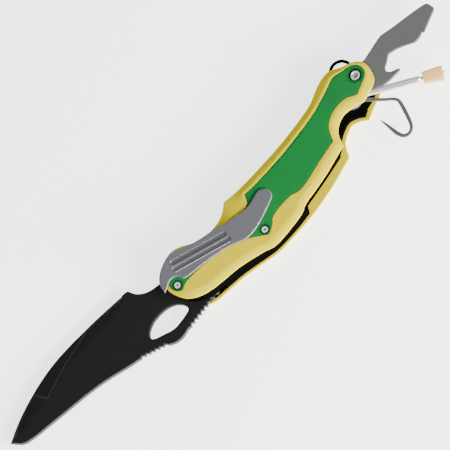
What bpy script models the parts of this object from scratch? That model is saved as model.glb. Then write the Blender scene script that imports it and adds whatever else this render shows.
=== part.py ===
"""Folding rigging knife: main blade at one end; opener, marlinspike and sail hook at the other.

Modelled in metres, +Z up. The knife lies on its rear scale with the clip side up. +X runs along the
handle to the tool end, and the blade folds in through the +Y side. The layers are stacked along Z.
Sizes below are in millimetres and are turned to metres where the meshes are made.
"""

import math

import bmesh
import bpy
from mathutils import Matrix, Vector
from mathutils.geometry import interpolate_bezier

MM = 0.001
GAP = 0.3
CORNER = True
SETTLE_PASSES = 24

# layer stack, rear to front
SCALE_THICK = 2.4
LINER_THICK = 0.6
BLADE_THICK = 2.8
HOOK_THICK = 1.2
SPIKE_THICK = 2.8
OPENER_THICK = 1.6
CLIP_THICK = 0.9
INLAY_DEPTH = 0.9
SCALE_BEVELS = ((1.3, 0.9), (1.0, 0.35))


def stack(first, *thicknesses):
    """The low and high Z of layers laid on each other with GAP between them."""
    layers = []
    low = first
    for thick in thicknesses:
        layers.append((low, low + thick))
        low += thick + GAP
    return layers


(REAR_SCALE, REAR_LINER, BLADE, CENTRE_LINER, HOOK, SPIKE, OPENER, FRONT_LINER, FRONT_SCALE, CLIP) = stack(
    0.0, SCALE_THICK, LINER_THICK, BLADE_THICK, LINER_THICK, HOOK_THICK, SPIKE_THICK, OPENER_THICK,
    LINER_THICK, SCALE_THICK, CLIP_THICK)

# pivots and fasteners, as (x, y)
BLADE_PIVOT = (-42.5, 3.9)
TOOL_AXLE = (52.4, 2.2)
TOOL_STUD = (45.5, 0.4)
LOCK_PIN = (-6.0, -11.0)
SPRING_PIN = (-3.0, 4.0)
LANYARD_PIN = (49.2, 7.4)
LOWER_SCREW = (-48.3, 4.4)
MID_SCREW = (-12.6, -8.2)
CLIP_RIVETS = ((-37.0, 6.0), (-28.6, 2.4))
RIVET_RADIUS = 1.0

BOLT_RADIUS = 2.4
NUT_RADIUS = 3.0
NUT_RECESS_RADIUS = 3.3
AXLE_RADIUS = 1.4
AXLE_HEAD_RADIUS = 1.9
AXLE_RECESS_RADIUS = 2.6
STUD_RADIUS = 1.4
PIN_RADIUS = 1.0
SCREW_RADIUS = 0.9
SCREW_HEAD_RADIUS = 1.3
SCREW_RECESS_RADIUS = 1.6
WASHER_RADIUS = 4.2
TANG_RADIUS = 9.6
TOOL_TANG_RADIUS = 4.2
OPENER_TANG_RADIUS = 4.4
RING_RADIUS = 4.75
RING_WIRE_RADIUS = 0.65
RING_LEAN = math.radians(46.6)
RING_PLAY = 0.18
LANYARD_PIN_RADIUS = 0.8
LANYARD_HEAD = (1.5, 0.5)
SPIKE_BAR_RADIUS = 1.35
SPIKE_TIP_RADIUS = 0.6
STUD_HEAD = (2.3, 0.7)
SCREW_HEAD_THICK = 1.3
SCREW_SINK = 0.3
AXLE_SINK = 0.5
AXLE_NUT_RADIUS = 2.2
NUT_SINK = 0.4
SOCKET_AXLE = (2.3, 1.0)
SOCKET_SCREW = (1.4, 0.6)
SLEEVE_WALL = 0.35
WELL_SLEEVE_WALL = 0.8
BEYOND = 1.0

# the rim of the scales, from the lower end round the +Y side to the tool end and into the thumb notch
UPPER_RIM = [
    (-51.8, 4.9), (-50.8, 8.6), (-48.0, 12.0), (-43.6, 14.3), (-40.2, 14.6), (-36.6, 13.2), (-32.9, 10.5),
    (-27.6, 8.2), (-21.5, 7.7), (-17.4, 8.8), (-13.9, 11.0, CORNER), (-8.0, 9.7), (2.0, 8.7), (15.0, 8.0),
    (27.0, 8.2), (34.0, 8.9), (40.0, 10.8), (45.0, 11.6), (48.4, 10.9), (51.4, 8.7), (55.2, 6.7),
    (57.6, 4.2), (58.0, 1.2), (56.9, -2.2), (54.8, -4.6), (50.8, -5.8),
]
FRONT_NOTCH = [
    (46.8, -6.4, CORNER), (43.2, -4.9), (38.6, -3.7), (34.6, -4.5), (31.6, -6.7), (29.3, -10.9, CORNER),
]
REAR_NOTCH = [
    (46.8, -6.9), (43.9, -7.9, CORNER), (41.6, -5.9), (38.3, -4.3), (34.4, -5.2), (31.4, -6.9),
    (28.4, -11.2, CORNER),
]
FRONT_BELLY = [
    (16.0, -12.9), (4.6, -13.7), (1.4, -14.7), (-2.5, -15.2), (-13.9, -15.0), (-19.7, -12.6),
    (-28.7, -9.4), (-37.0, -7.6), (-41.5, -6.5), (-46.0, -4.6), (-50.0, -1.0),
]
REAR_BELLY = [
    (16.0, -13.2), (4.6, -14.1), (-4.0, -13.9), (-14.0, -13.2), (-20.0, -11.6), (-29.0, -8.9),
    (-38.0, -7.2), (-43.0, -6.2), (-47.0, -4.0), (-50.4, -0.6),
]

# the coloured inlay set into each scale's flat face
INLAY_BODY = [
    (-48.9, 9.0), (-45.0, 11.4), (-39.0, 10.6), (-33.0, 7.2), (-27.0, 4.6), (-20.0, 4.4), (-12.0, 2.7),
    (-9.0, 3.3, CORNER), (-7.0, 6.3, CORNER), (-1.6, 5.5), (11.0, 4.7), (24.8, 4.8), (32.8, 5.4), (40.8, 6.9),
    (46.2, 8.2), (50.0, 7.2), (54.2, 5.8), (56.1, 3.4), (55.9, 0.6), (54.1, -1.1), (49.2, -2.7), (46.9, -3.1),
    (43.4, -0.9), (38.5, -0.2), (34.3, -1.0), (30.9, -3.2), (28.2, -7.5, CORNER), (19.0, -8.4), (7.8, -9.6),
    (2.0, -7.8), (-6.2, -7.6), (-9.6, -9.5), (-13.0, -10.7), (-15.4, -8.8), (-19.8, -5.2),
]
FRONT_INLAY_TAIL = [
    (-28.0, -1.0), (-35.3, 1.0), (-43.0, 2.2), (-46.2, 2.2), (-48.8, 1.6), (-50.7, 4.0), (-50.2, 6.8),
]
REAR_INLAY_TAIL = [(-28.0, -3.6), (-36.0, -2.6), (-43.0, -2.0), (-47.8, -0.2), (-50.7, 3.6), (-50.2, 6.8)]

# liners sit inside the rims; the belly is stepped back beside the folded tools
LINER_TOP = [
    (-50.6, 5.0), (-49.6, 8.2), (-47.2, 11.0), (-43.4, 13.1), (-40.2, 13.4), (-37.2, 12.2), (-33.4, 9.5),
    (-27.8, 7.1), (-21.3, 6.6), (-17.0, 7.7), (-14.0, 9.6, CORNER), (-8.0, 8.6), (2.0, 7.6), (15.0, 6.9),
    (27.0, 7.1), (34.2, 7.8), (40.3, 9.7), (45.0, 10.6), (48.2, 10.1), (51.1, 8.1), (54.8, 5.8), (56.4, 3.6),
    (56.8, 1.2), (55.8, -1.6), (54.2, -3.5), (50.6, -4.7),
]
LINER_NOTCH = [
    (46.6, -5.2, CORNER), (43.0, -3.4), (38.8, -2.2), (34.0, -3.0), (30.2, -5.6), (26.4, -8.9, CORNER),
]
LINER_BELLY = [
    (16.0, -10.0), (5.0, -10.8, CORNER), (3.2, -13.2, CORNER), (-4.0, -13.3), (-13.8, -12.6), (-20.0, -11.0),
    (-29.0, -8.3), (-37.5, -6.6), (-42.5, -5.6), (-46.0, -3.6), (-49.2, -0.4),
]

# the block that fills the tool layers in the blade half, leaving the springs' feet free
SPACER_RIM = [
    (-50.4, 5.0), (-49.4, 8.2), (-47.0, 10.9), (-43.2, 12.9), (-40.2, 13.2), (-37.4, 12.0), (-33.6, 9.3),
    (-28.0, 6.9), (-21.3, 6.4), (-17.2, 7.4), (-14.0, 9.3, CORNER), (-8.0, 8.3, CORNER), (-8.0, -2.0, CORNER),
    (-2.0, -7.6), (2.8, -9.8, CORNER), (2.8, -13.4, CORNER), (-4.0, -13.7), (-13.8, -13.2), (-20.0, -11.4),
    (-29.0, -8.6), (-37.5, -6.9), (-42.5, -5.8), (-46.2, -3.8), (-49.2, -0.4),
]

LOCK_BAR_RIM = [
    (-36.8, -4.6, CORNER), (-29.0, -4.8, CORNER), (-25.4, -6.6), (-22.8, -9.0, CORNER), (-17.0, -9.2),
    (-5.0, -8.6), (8.0, -7.8), (22.0, -5.4), (30.0, -2.6), (36.0, -1.2), (43.0, -1.0), (46.6, -2.2, CORNER),
    (46.4, -5.8, CORNER), (43.7, -6.9, CORNER), (41.6, -5.0), (38.3, -3.5), (34.4, -4.3), (31.0, -5.9),
    (26.8, -8.6), (14.0, -9.9), (5.4, -10.6), (3.0, -12.9, CORNER), (-6.0, -13.1), (-14.0, -12.5),
    (-20.0, -11.1), (-29.0, -8.4), (-36.6, -6.9, CORNER),
]

# main blade, open: the cutting edge, the choil, the tang, the two grooved runs and the spine
EDGE_LINE = [
    (-131.0, 19.8, CORNER), (-124.3, 22.2), (-117.9, 23.9), (-111.0, 25.2), (-103.4, 26.1), (-96.3, 26.3),
    (-89.4, 25.9), (-82.2, 25.1), (-76.3, 24.4), (-69.2, 23.3), (-64.0, 22.4),
]
CHOIL = [(-60.5, 21.5, CORNER), (-59.4, 18.2), (-56.6, 15.5), (-52.3, 13.9), (-47.4, 13.3)]
SPINE_BUMP = [(-57.4, -5.7), (-61.0, -6.1), (-64.2, -5.4), (-66.2, -4.1)]
SPINE_LINE = [
    (-77.6, 1.5), (-82.5, 3.1), (-90.2, 6.0), (-98.5, 8.4), (-110.2, 11.0), (-118.4, 12.8), (-122.4, 13.7),
    (-126.6, 15.0), (-128.6, 16.3, CORNER),
]
NEAR_GROOVES = {"start": (-40.8, -6.0), "end": (-56.2, -6.2), "count": 8, "depth": 1.2}
FAR_GROOVES = {"start": (-66.8, -3.6), "end": (-76.9, 1.1), "count": 6, "depth": 1.0}
BLADE_HOLE = [
    (-68.8, 3.3), (-67.2, 4.9), (-64.2, 6.0), (-60.8, 6.2), (-57.0, 5.6), (-53.8, 4.0), (-51.9, 1.4),
    (-51.9, -0.8), (-54.2, -1.5), (-60.4, -1.6), (-64.4, 0.0), (-68.0, 1.8),
]
GRIND_LINE = [
    (-131.6, 19.0), (-121.0, 18.6), (-112.0, 19.2), (-103.0, 20.0), (-94.0, 20.2), (-85.0, 19.6),
    (-76.0, 19.4), (-67.0, 20.0), (-62.0, 21.6),
]
GRIND_OUTSIDE = [
    (-133.0, 21.5), (-122.0, 24.6), (-112.0, 27.0), (-103.0, 28.6), (-94.0, 28.8), (-85.0, 28.0),
    (-76.0, 26.2), (-67.0, 24.2), (-61.6, 22.8),
]
EDGE_HALF_THICK = 0.25

OPENER_RIM = [
    (58.4, 4.5), (61.6, 4.6), (66.2, 5.1), (69.9, 5.3), (74.7, 3.9), (84.4, 1.3), (87.9, 0.2),
    (89.7, -0.9), (90.0, -3.6), (89.3, -4.4, CORNER), (85.1, -5.6), (80.8, -6.9, CORNER),
    (80.1, -6.2, CORNER), (77.9, -6.8), (75.6, -6.4), (72.3, -4.2), (69.0, -2.4), (66.2, -1.7), (64.6, -2.4, CORNER), (63.4, -3.0),
    (61.6, -3.8), (60.9, -5.1), (61.7, -6.5), (64.3, -8.0), (64.4, -8.8), (62.5, -8.7), (58.4, -8.1),
    (54.8, -6.6), (51.4, -4.2),
]

HOOK_PATH = [
    (46.6, -1.4, 3.0), (48.4, -4.0, 1.6), (52.6, -9.6, 1.1), (54.9, -12.4, 1.1), (55.4, -14.6, 1.4),
    (53.6, -19.2, 1.5), (51.2, -23.8, 1.3), (48.8, -25.2, 1.1), (46.6, -24.4, 1.3), (45.7, -22.0, 1.5),
    (45.7, -18.0, 1.2), (45.8, -13.7, 0.3),
]

SPIKE_ANGLE = math.radians(-38.2)
SPIKE_SHOULDER = 26.4
SPIKE_CONE = 1.0
SPIKE_LENGTH = 36.4
CORK_START = 27.8
CORK_LENGTH = 7.6
CORK_NEAR_WIDTH = 4.4
CORK_FAR_WIDTH = 5.6
CORK_THICK = 3.1
CORK_SIDES = 16
CORK_SQUARENESS = 0.6

SPRING_RIM = [
    (-6.4, 4.4), (-4.8, 7.0), (0.0, 7.5), (15.0, 6.7), (27.0, 6.9), (36.0, 7.5), (42.5, 7.4), (44.6, 6.6),
    (44.8, 4.95, CORNER), (36.0, 5.0), (27.0, 4.6), (15.0, 4.4), (4.0, 3.4), (0.2, 1.6), (-3.6, 0.9),
    (-6.0, 2.0),
]

CLIP_RIM = [
    (-53.4, 5.8, CORNER), (-52.0, 9.6), (-49.4, 11.8), (-45.3, 13.4), (-41.6, 13.8), (-38.4, 12.6),
    (-34.2, 10.2), (-28.5, 7.9), (-23.7, 6.5), (-20.2, 4.7), (-14.8, 3.1), (-10.8, 2.0), (-7.4, 2.1),
    (-4.2, 2.6), (-2.2, 2.3), (-0.5, 0.6), (-0.4, -1.3), (-1.6, -2.8), (-4.6, -3.8), (-10.2, -5.1),
    (-15.4, -5.8), (-19.8, -5.2), (-25.0, -2.4), (-31.3, -0.1), (-36.6, 1.4), (-41.8, 2.6), (-44.8, 3.6),
    (-45.4, 5.4), (-46.6, 6.9), (-48.9, 7.3), (-51.2, 6.5),
]
CLIP_GROOVES = (((-43.0, 10.8), (-23.2, 2.4)), ((-44.4, 8.6), (-23.6, -0.2)))
CLIP_GROOVE_WIDTH = 1.7
CLIP_GROOVE_DEPTH = 0.35

COLOURS = {
    "yellow": ((0.76, 0.60, 0.11), 0.45, 0.1),
    "green": ((0.01, 0.24, 0.06), 0.55, 0.0),
    "black_steel": ((0.02, 0.02, 0.022), 0.5, 0.6),
    "dark_steel": ((0.07, 0.07, 0.06), 0.45, 0.8),
    "satin_steel": ((0.33, 0.33, 0.34), 0.35, 1.0),
    "bright_steel": ((0.75, 0.75, 0.75), 0.22, 1.0),
    "bronze": ((0.55, 0.36, 0.16), 0.4, 1.0),
    "cork": ((0.80, 0.58, 0.40), 0.8, 0.0),
}


def clear_scene():
    """Remove everything that the start-up scene holds."""
    for thing in list(bpy.data.objects):
        bpy.data.objects.remove(thing)


def new_collection(name):
    collection = bpy.data.collections.new(name)
    bpy.context.scene.collection.children.link(collection)
    return collection


def make_material(name):
    colour, roughness, metallic = COLOURS[name]
    made = bpy.data.materials.new(name)
    made.use_nodes = True
    shader = made.node_tree.nodes["Principled BSDF"]
    shader.inputs["Base Color"].default_value = (*colour, 1.0)
    shader.inputs["Roughness"].default_value = roughness
    shader.inputs["Metallic"].default_value = metallic
    return made


clear_scene()
PARTS = new_collection("rigging_knife")
CUTTERS = new_collection("cutters")
MATERIALS = {name: make_material(name) for name in COLOURS}


def spline(points, steps=2):
    """A closed outline through the points: curved at each, but sharp at those marked CORNER."""
    count = len(points)
    places = [Vector(p[:2]) for p in points]
    sharp = [len(point) > 2 for point in points]
    slopes = [(places[(i + 1) % count] - places[i - 1]) / 6 for i in range(count)]
    outline = []
    for i in range(count):
        j = (i + 1) % count
        start, end = places[i], places[j]
        if sharp[i] and sharp[j]:
            outline.append(start)
            continue
        leave = (end - start) / 3 if sharp[i] else slopes[i]
        arrive = (end - start) / 3 if sharp[j] else slopes[j]
        outline += interpolate_bezier(start, start + leave, end - arrive, end, steps + 1)[:-1]
    return [(p.x, p.y) for p in outline]


def circle(centre, radius, count=20):
    """Points round a circle."""
    turn = math.tau / count
    return [(centre[0] + radius * math.cos(i * turn), centre[1] + radius * math.sin(i * turn))
            for i in range(count)]


def arc(centre, radius, first, last, count):
    """Points along an arc, between two angles in degrees."""
    angles = [math.radians(first + (last - first) * i / (count - 1)) for i in range(count)]
    return [(centre[0] + radius * math.cos(a), centre[1] + radius * math.sin(a)) for a in angles]


def grooves(start, end, count, depth):
    """A run of pointed thumb grooves along a line, cut to the left of its direction of travel."""
    first, last = Vector(start), Vector(end)
    step = (last - first) / count
    inward = Vector((step.y, -step.x)).normalized() * depth
    points = []
    for i in range(count):
        tip = first + step * i
        root = tip + step * 0.6 + inward
        points += [(tip.x, tip.y, CORNER), (root.x, root.y, CORNER)]
    points.append((last.x, last.y, CORNER))
    return points


def finish(thing, name, material, collection=None):
    thing.name = name
    thing.data.name = name
    if material:
        thing.data.materials.append(MATERIALS[material])
    (collection or PARTS).objects.link(thing)
    return thing


def plate(name, loops, layer, material, origin=(0.0, 0.0), collection=None):
    """A flat plate: closed loops in a filled 2D curve, the first its rim and the rest its holes."""
    curve = bpy.data.curves.new(name, "CURVE")
    curve.dimensions = "2D"
    curve.fill_mode = "BOTH"
    curve.extrude = (layer[1] - layer[0]) / 2 * MM
    for loop in loops:
        line = curve.splines.new("POLY")
        line.points.add(len(loop) - 1)
        line.use_cyclic_u = True
        for point, (x, y) in zip(line.points, loop):
            point.co = ((x - origin[0]) * MM, (y - origin[1]) * MM, 0.0, 1.0)
    thing = bpy.data.objects.new(name, curve)
    thing.location = (origin[0] * MM, origin[1] * MM, (layer[0] + layer[1]) / 2 * MM)
    return finish(thing, name, material, collection)


def meshed(thing):
    """The same piece as a mesh with its caps welded on, in place of its curve."""
    bpy.context.view_layer.update()
    seen = thing.evaluated_get(bpy.context.evaluated_depsgraph_get())
    mesh = bpy.data.meshes.new_from_object(seen)
    work = bmesh.new()
    work.from_mesh(mesh)
    bmesh.ops.remove_doubles(work, verts=work.verts, dist=0.00001)
    bmesh.ops.recalc_face_normals(work, faces=work.faces)
    work.to_mesh(mesh)
    work.free()
    name = thing.name
    collection = thing.users_collection[0]
    made = bpy.data.objects.new(name + "_mesh", mesh)
    made.matrix_world = thing.matrix_world
    collection.objects.link(made)
    bpy.data.objects.remove(thing)
    made.name = name
    return made


def inset(outline, width):
    """The outline moved inwards by width; edges that would turn back are drawn together to a point."""
    points = [Vector(p) for p in outline]
    count = len(points)
    area = sum(points[i - 1].x * points[i].y - points[i].x * points[i - 1].y for i in range(count))
    side = math.copysign(1.0, area)
    moved = []
    for i, point in enumerate(points):
        before = (point - points[i - 1]).normalized()
        after = (points[(i + 1) % count] - point).normalized()
        first = Vector((-before.y, before.x)) * side
        second = Vector((-after.y, after.x)) * side
        moved.append(point + (first + second) * (width / (1.0 + first.dot(second))))
    for _ in range(SETTLE_PASSES):
        for i in range(count):
            j = (i + 1) % count
            if (moved[j] - moved[i]).dot(points[j] - points[i]) < 0:
                moved[i] = moved[j] = (moved[i] + moved[j]) / 2
    return [tuple(point) for point in moved]


def loft(name, rings, material, collection=None):
    """A closed body through rings of equally many (x, y, z) points, with a flat cap on each end."""
    work = bmesh.new()
    rows = [[work.verts.new([c * MM for c in point]) for point in ring_points] for ring_points in rings]
    count = len(rows[0])
    for first, second in zip(rows, rows[1:]):
        for i in range(count):
            j = (i + 1) % count
            work.faces.new((first[i], first[j], second[j], second[i]))
    work.faces.new(rows[0])
    work.faces.new(rows[-1])
    bmesh.ops.remove_doubles(work, verts=work.verts, dist=0.00001)
    bmesh.ops.recalc_face_normals(work, faces=work.faces)
    mesh = bpy.data.meshes.new(name)
    work.to_mesh(mesh)
    work.free()
    return finish(bpy.data.objects.new(name, mesh), name, material, collection)


def slab(name, outline, inner, outer, bevels, material):
    """A plate from its inner face at Z inner to its outer face, which steps in by each (width, drop)."""
    side = math.copysign(1.0, outer - inner)
    drop = sum(fall for _, fall in bevels)
    levels = [(0.0, inner), (0.0, outer - side * drop)]
    for width, fall in bevels:
        levels.append((levels[-1][0] + width, levels[-1][1] + side * fall))
    rings = [[(x, y, z) for x, y in inset(outline, width)] for width, z in levels]
    return loft(name, rings, material)


def turned(name, centre, profile, material, collection=None, steps=20):
    """A round piece about a vertical axis; its profile of (radius, z) runs top to bottom."""
    mesh = bpy.data.meshes.new(name)
    closed = profile[0][0] > 0
    count = len(profile)
    edges = [(i, (i + 1) % count) for i in range(count if closed else count - 1)]
    mesh.from_pydata([(r * MM, 0.0, z * MM) for r, z in profile], edges, [])
    thing = bpy.data.objects.new(name, mesh)
    thing.location = (centre[0] * MM, centre[1] * MM, 0.0)
    screw = thing.modifiers.new("turn", "SCREW")
    screw.axis = "Z"
    screw.steps = screw.render_steps = steps
    screw.use_merge_vertices = True
    screw.merge_threshold = 0.00001
    screw.use_smooth_shade = False
    return finish(thing, name, material, collection)


def combine(thing, other, operation):
    """Apply another body to the piece by a live Boolean, and hide that body."""
    other.hide_render = True
    other.display_type = "WIRE"
    change = thing.modifiers.new(other.name, "BOOLEAN")
    change.operation = operation
    change.solver = "EXACT"
    change.object = other


def cut(thing, cutter):
    """Take the cutter's shape out of the piece."""
    combine(thing, cutter, "DIFFERENCE")


def join(thing, other):
    """Add the other body's shape to the piece."""
    combine(thing, other, "UNION")


def cut_plate(thing, loop, layer):
    """Cut a flat-sided pocket or window."""
    cutter = meshed(plate(thing.name + "_cut", [loop], layer, None, collection=CUTTERS))
    cut(thing, cutter)


def bolt(name, centre, heads, shank, material):
    """A straight pin whose shank is (radius, low, high), with heads of (radius, low, high) at its ends."""
    radius, low, high = shank
    profile = []
    for head_radius, head_low, head_high in sorted(heads, key=lambda h: -h[2]):
        if head_high >= high:
            profile += [(0.0, head_high), (head_radius, head_high), (head_radius, head_low)]
            profile.append((radius, head_low))
    if not profile:
        profile = [(0.0, high), (radius, high)]
    tail = [h for h in heads if h[1] <= low]
    if tail:
        head_radius, head_low, head_high = tail[0]
        profile += [(radius, head_high), (head_radius, head_high), (head_radius, head_low), (0.0, head_low)]
    else:
        profile += [(radius, low), (0.0, low)]
    return turned(name, centre, profile, material)


def ring(name, centre, inner, outer, layer, material):
    """A flat washer or sleeve."""
    low, high = layer
    return turned(name, centre, [(inner, high), (outer, high), (outer, low), (inner, low)], material)


def hexagon_socket(thing, centre, across, top, depth):
    """Cut a six-sided socket down into a screw's head."""
    cut_plate(thing, circle(centre, across / 2, 6), (top - depth, top + BEYOND))


def thicken(path):
    """The outline of a flat strip that follows (x, y, width) points, for a hook or an arm."""
    places = [Vector(p[:2]) for p in path]
    left, right = [], []
    for i, (x, y, width) in enumerate(path):
        along = places[min(i + 1, len(path) - 1)] - places[max(i - 1, 0)]
        across = Vector((-along.y, along.x)).normalized() * width / 2
        left.append((x + across.x, y + across.y))
        right.append((x - across.x, y - across.y))
    return left + right[::-1]


def make_scales():
    front = slab("front_scale", spline(UPPER_RIM + FRONT_NOTCH + FRONT_BELLY), FRONT_SCALE[0], FRONT_SCALE[1],
                 SCALE_BEVELS, "yellow")
    rear = slab("rear_scale", spline(UPPER_RIM + REAR_NOTCH + REAR_BELLY), REAR_SCALE[1], REAR_SCALE[0],
                SCALE_BEVELS, "yellow")
    front_face = (FRONT_SCALE[1] - INLAY_DEPTH, FRONT_SCALE[1] + BEYOND)
    rear_face = (REAR_SCALE[0] - BEYOND, REAR_SCALE[0] + INLAY_DEPTH)
    cut_plate(front, spline(INLAY_BODY + FRONT_INLAY_TAIL), front_face)
    cut_plate(rear, spline(INLAY_BODY + REAR_INLAY_TAIL), rear_face)


def make_inlays():
    thick = INLAY_DEPTH - GAP
    screws = [circle(MID_SCREW, SCREW_RECESS_RADIUS, 20), circle(LOWER_SCREW, SCREW_RECESS_RADIUS, 20)]
    front = inset(spline(INLAY_BODY + FRONT_INLAY_TAIL), GAP)
    rear = inset(spline(INLAY_BODY + REAR_INLAY_TAIL), GAP)
    rivets = [circle(centre, RIVET_RADIUS + GAP, 16) for centre in CLIP_RIVETS]
    plate("front_inlay", [front, circle(TOOL_AXLE, AXLE_RECESS_RADIUS)] + screws + rivets,
          (FRONT_SCALE[1] - thick, FRONT_SCALE[1]), "green")
    plate("rear_inlay", [rear, circle(TOOL_AXLE, AXLE_RECESS_RADIUS), circle(BLADE_PIVOT, NUT_RECESS_RADIUS)]
          + screws, (REAR_SCALE[0], REAR_SCALE[0] + thick), "green")


def bore_scales():
    """Holes through the scales for the bolts and screws, and through the front one for the clip's rivets."""
    front = PARTS.objects["front_scale"]
    rear = PARTS.objects["rear_scale"]
    for scale, layer in ((front, FRONT_SCALE), (rear, REAR_SCALE)):
        through = (layer[0] - BEYOND, layer[1] + BEYOND)
        for centre, radius in ((TOOL_AXLE, AXLE_RECESS_RADIUS), (MID_SCREW, SCREW_RECESS_RADIUS),
                               (LOWER_SCREW, SCREW_RECESS_RADIUS)):
            cut_plate(scale, circle(centre, radius), through)
    cut_plate(rear, circle(BLADE_PIVOT, NUT_RECESS_RADIUS),
              (REAR_SCALE[0] - BEYOND, REAR_SCALE[1] + BEYOND))
    for centre in CLIP_RIVETS:
        cut_plate(front, circle(centre, RIVET_RADIUS + GAP, 16),
                  (FRONT_SCALE[0] - BEYOND, FRONT_SCALE[1] + BEYOND))


def make_liners():
    outline = spline(LINER_TOP + LINER_NOTCH + LINER_BELLY)
    pin = PIN_RADIUS + GAP
    bolt_hole = circle(BLADE_PIVOT, BOLT_RADIUS + GAP)
    washer_hole = circle(BLADE_PIVOT, WASHER_RADIUS + GAP)
    axle_hole = circle(TOOL_AXLE, AXLE_RADIUS + GAP)
    lock_hole = circle(LOCK_PIN, pin, 20)
    spring_hole = circle(SPRING_PIN, pin, 20)
    lanyard_hole = circle(LANYARD_PIN, LANYARD_PIN_RADIUS + GAP, 20)
    screw_holes = [circle(c, SCREW_RADIUS + GAP, 16) for c in (LOWER_SCREW, MID_SCREW)]
    plate("front_liner", [outline, bolt_hole, axle_hole, lock_hole, spring_hole] + screw_holes,
          FRONT_LINER, "dark_steel")
    plate("centre_liner", [outline, washer_hole, axle_hole, lock_hole, spring_hole, lanyard_hole,
                           circle(TOOL_STUD, STUD_RADIUS + GAP, 20)], CENTRE_LINER, "dark_steel")
    plate("rear_liner", [outline, washer_hole, axle_hole, lock_hole] + screw_holes, REAR_LINER, "dark_steel")


def make_spacer():
    layer = (HOOK[0], OPENER[1])
    plate("spacer_block", [spline(SPACER_RIM), circle(BLADE_PIVOT, BOLT_RADIUS + GAP),
                           circle(LOCK_PIN, PIN_RADIUS + GAP, 20), circle(MID_SCREW, SCREW_RADIUS + GAP, 16),
                           circle(LOWER_SCREW, SCREW_RADIUS + GAP, 16)], layer, "black_steel")


def blade_outline():
    tang = arc(BLADE_PIVOT, TANG_RADIUS, 82, -72, 12)
    return spline(EDGE_LINE + CHOIL + tang + grooves(**NEAR_GROOVES) + SPINE_BUMP + grooves(**FAR_GROOVES)
                  + SPINE_LINE)


def grind_cutter(name, face_z, side):
    """A wedge along the cutting edge that thins one face of the blade towards the edge."""
    edge_z = (BLADE[0] + BLADE[1]) / 2 + side * EDGE_HALF_THICK
    far_z = face_z + side * 2.0
    rings = [((*inner, face_z), (*outer, edge_z), (*outer, far_z), (*inner, far_z))
             for inner, outer in zip(GRIND_LINE, GRIND_OUTSIDE)]
    return loft(name, rings, None, CUTTERS)


def make_blade():
    flat = plate("main_blade", [blade_outline(), spline(BLADE_HOLE), circle(BLADE_PIVOT, BOLT_RADIUS + GAP)],
                 BLADE, "black_steel", BLADE_PIVOT)
    blade = meshed(flat)
    cut(blade, grind_cutter("grind_front", BLADE[1], 1))
    cut(blade, grind_cutter("grind_rear", BLADE[0], -1))
    for name, liner in (("blade_washer_front", CENTRE_LINER), ("blade_washer_rear", REAR_LINER)):
        ring(name, BLADE_PIVOT, BOLT_RADIUS + GAP, WASHER_RADIUS, liner, "bronze")
    meet = REAR_SCALE[1] + 0.1
    bolt("blade_pivot_bolt", BLADE_PIVOT, [], (BOLT_RADIUS, meet + 0.1, FRONT_LINER[1]), "bright_steel")
    bolt("blade_pivot_nut", BLADE_PIVOT, [], (NUT_RADIUS, NUT_SINK, meet - 0.2), "bright_steel")


def make_lock():
    plate("lock_bar", [spline(LOCK_BAR_RIM), circle(LOCK_PIN, PIN_RADIUS + GAP, 20)], BLADE, "black_steel",
          LOCK_PIN)
    bolt("lock_bar_pin", LOCK_PIN, [], (PIN_RADIUS, REAR_LINER[0], FRONT_LINER[1]), "bright_steel")


def make_axle():
    """The tool axle: a socket bolt from the front, a nut at the rear, two sleeves, and the stud beside it."""
    top = FRONT_SCALE[1] - AXLE_SINK
    head = (AXLE_HEAD_RADIUS, FRONT_LINER[1] + GAP, top)
    axle = bolt("tool_axle_bolt", TOOL_AXLE, [head], (AXLE_RADIUS, REAR_LINER[0], FRONT_LINER[1] + GAP),
                "bright_steel")
    hexagon_socket(axle, TOOL_AXLE, SOCKET_AXLE[0], top, SOCKET_AXLE[1])
    bolt("tool_axle_nut", TOOL_AXLE, [], (AXLE_NUT_RADIUS, NUT_SINK, REAR_SCALE[1]), "bright_steel")
    bore = AXLE_RADIUS + GAP
    ring("tool_axle_sleeve", TOOL_AXLE, bore, bore + SLEEVE_WALL, (HOOK[0], SPIKE[1]), "bronze")
    ring("blade_well_sleeve", TOOL_AXLE, bore, bore + WELL_SLEEVE_WALL, BLADE, "bronze")
    head_radius, head_thick = STUD_HEAD
    bolt("tool_stud", TOOL_STUD, [(head_radius, SPIKE[1] - head_thick, SPIKE[1])],
         (STUD_RADIUS, CENTRE_LINER[0], SPIKE[1] - head_thick), "bright_steel")


def make_opener():
    tang = arc(TOOL_AXLE, OPENER_TANG_RADIUS, 215, 75, 8)
    plate("bottle_opener", [spline(OPENER_RIM + tang), circle(TOOL_AXLE, AXLE_RADIUS + GAP)], OPENER,
          "satin_steel", TOOL_AXLE)


def make_hook():
    """A thin strip along the hook's path out of a flat round tang."""
    hook = meshed(plate("sail_hook", [spline(thicken(HOOK_PATH))], HOOK, "satin_steel", TOOL_STUD))
    tang = plate("hook_tang", [circle(TOOL_STUD, TOOL_TANG_RADIUS)], HOOK, None, collection=CUTTERS)
    join(hook, meshed(tang))
    cut_plate(hook, circle(TOOL_STUD, STUD_RADIUS + GAP), (HOOK[0] - BEYOND, HOOK[1] + BEYOND))


def lay_along_spike(thing):
    """Lay a piece turned about Z along the spike, from the stud outwards."""
    middle = (SPIKE[0] + SPIKE[1]) / 2
    thing.matrix_world = (Matrix.Translation((TOOL_STUD[0] * MM, TOOL_STUD[1] * MM, middle * MM))
                          @ Matrix.Rotation(SPIKE_ANGLE, 4, "Z") @ Matrix.Rotation(math.pi / 2, 4, "Y"))


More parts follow.
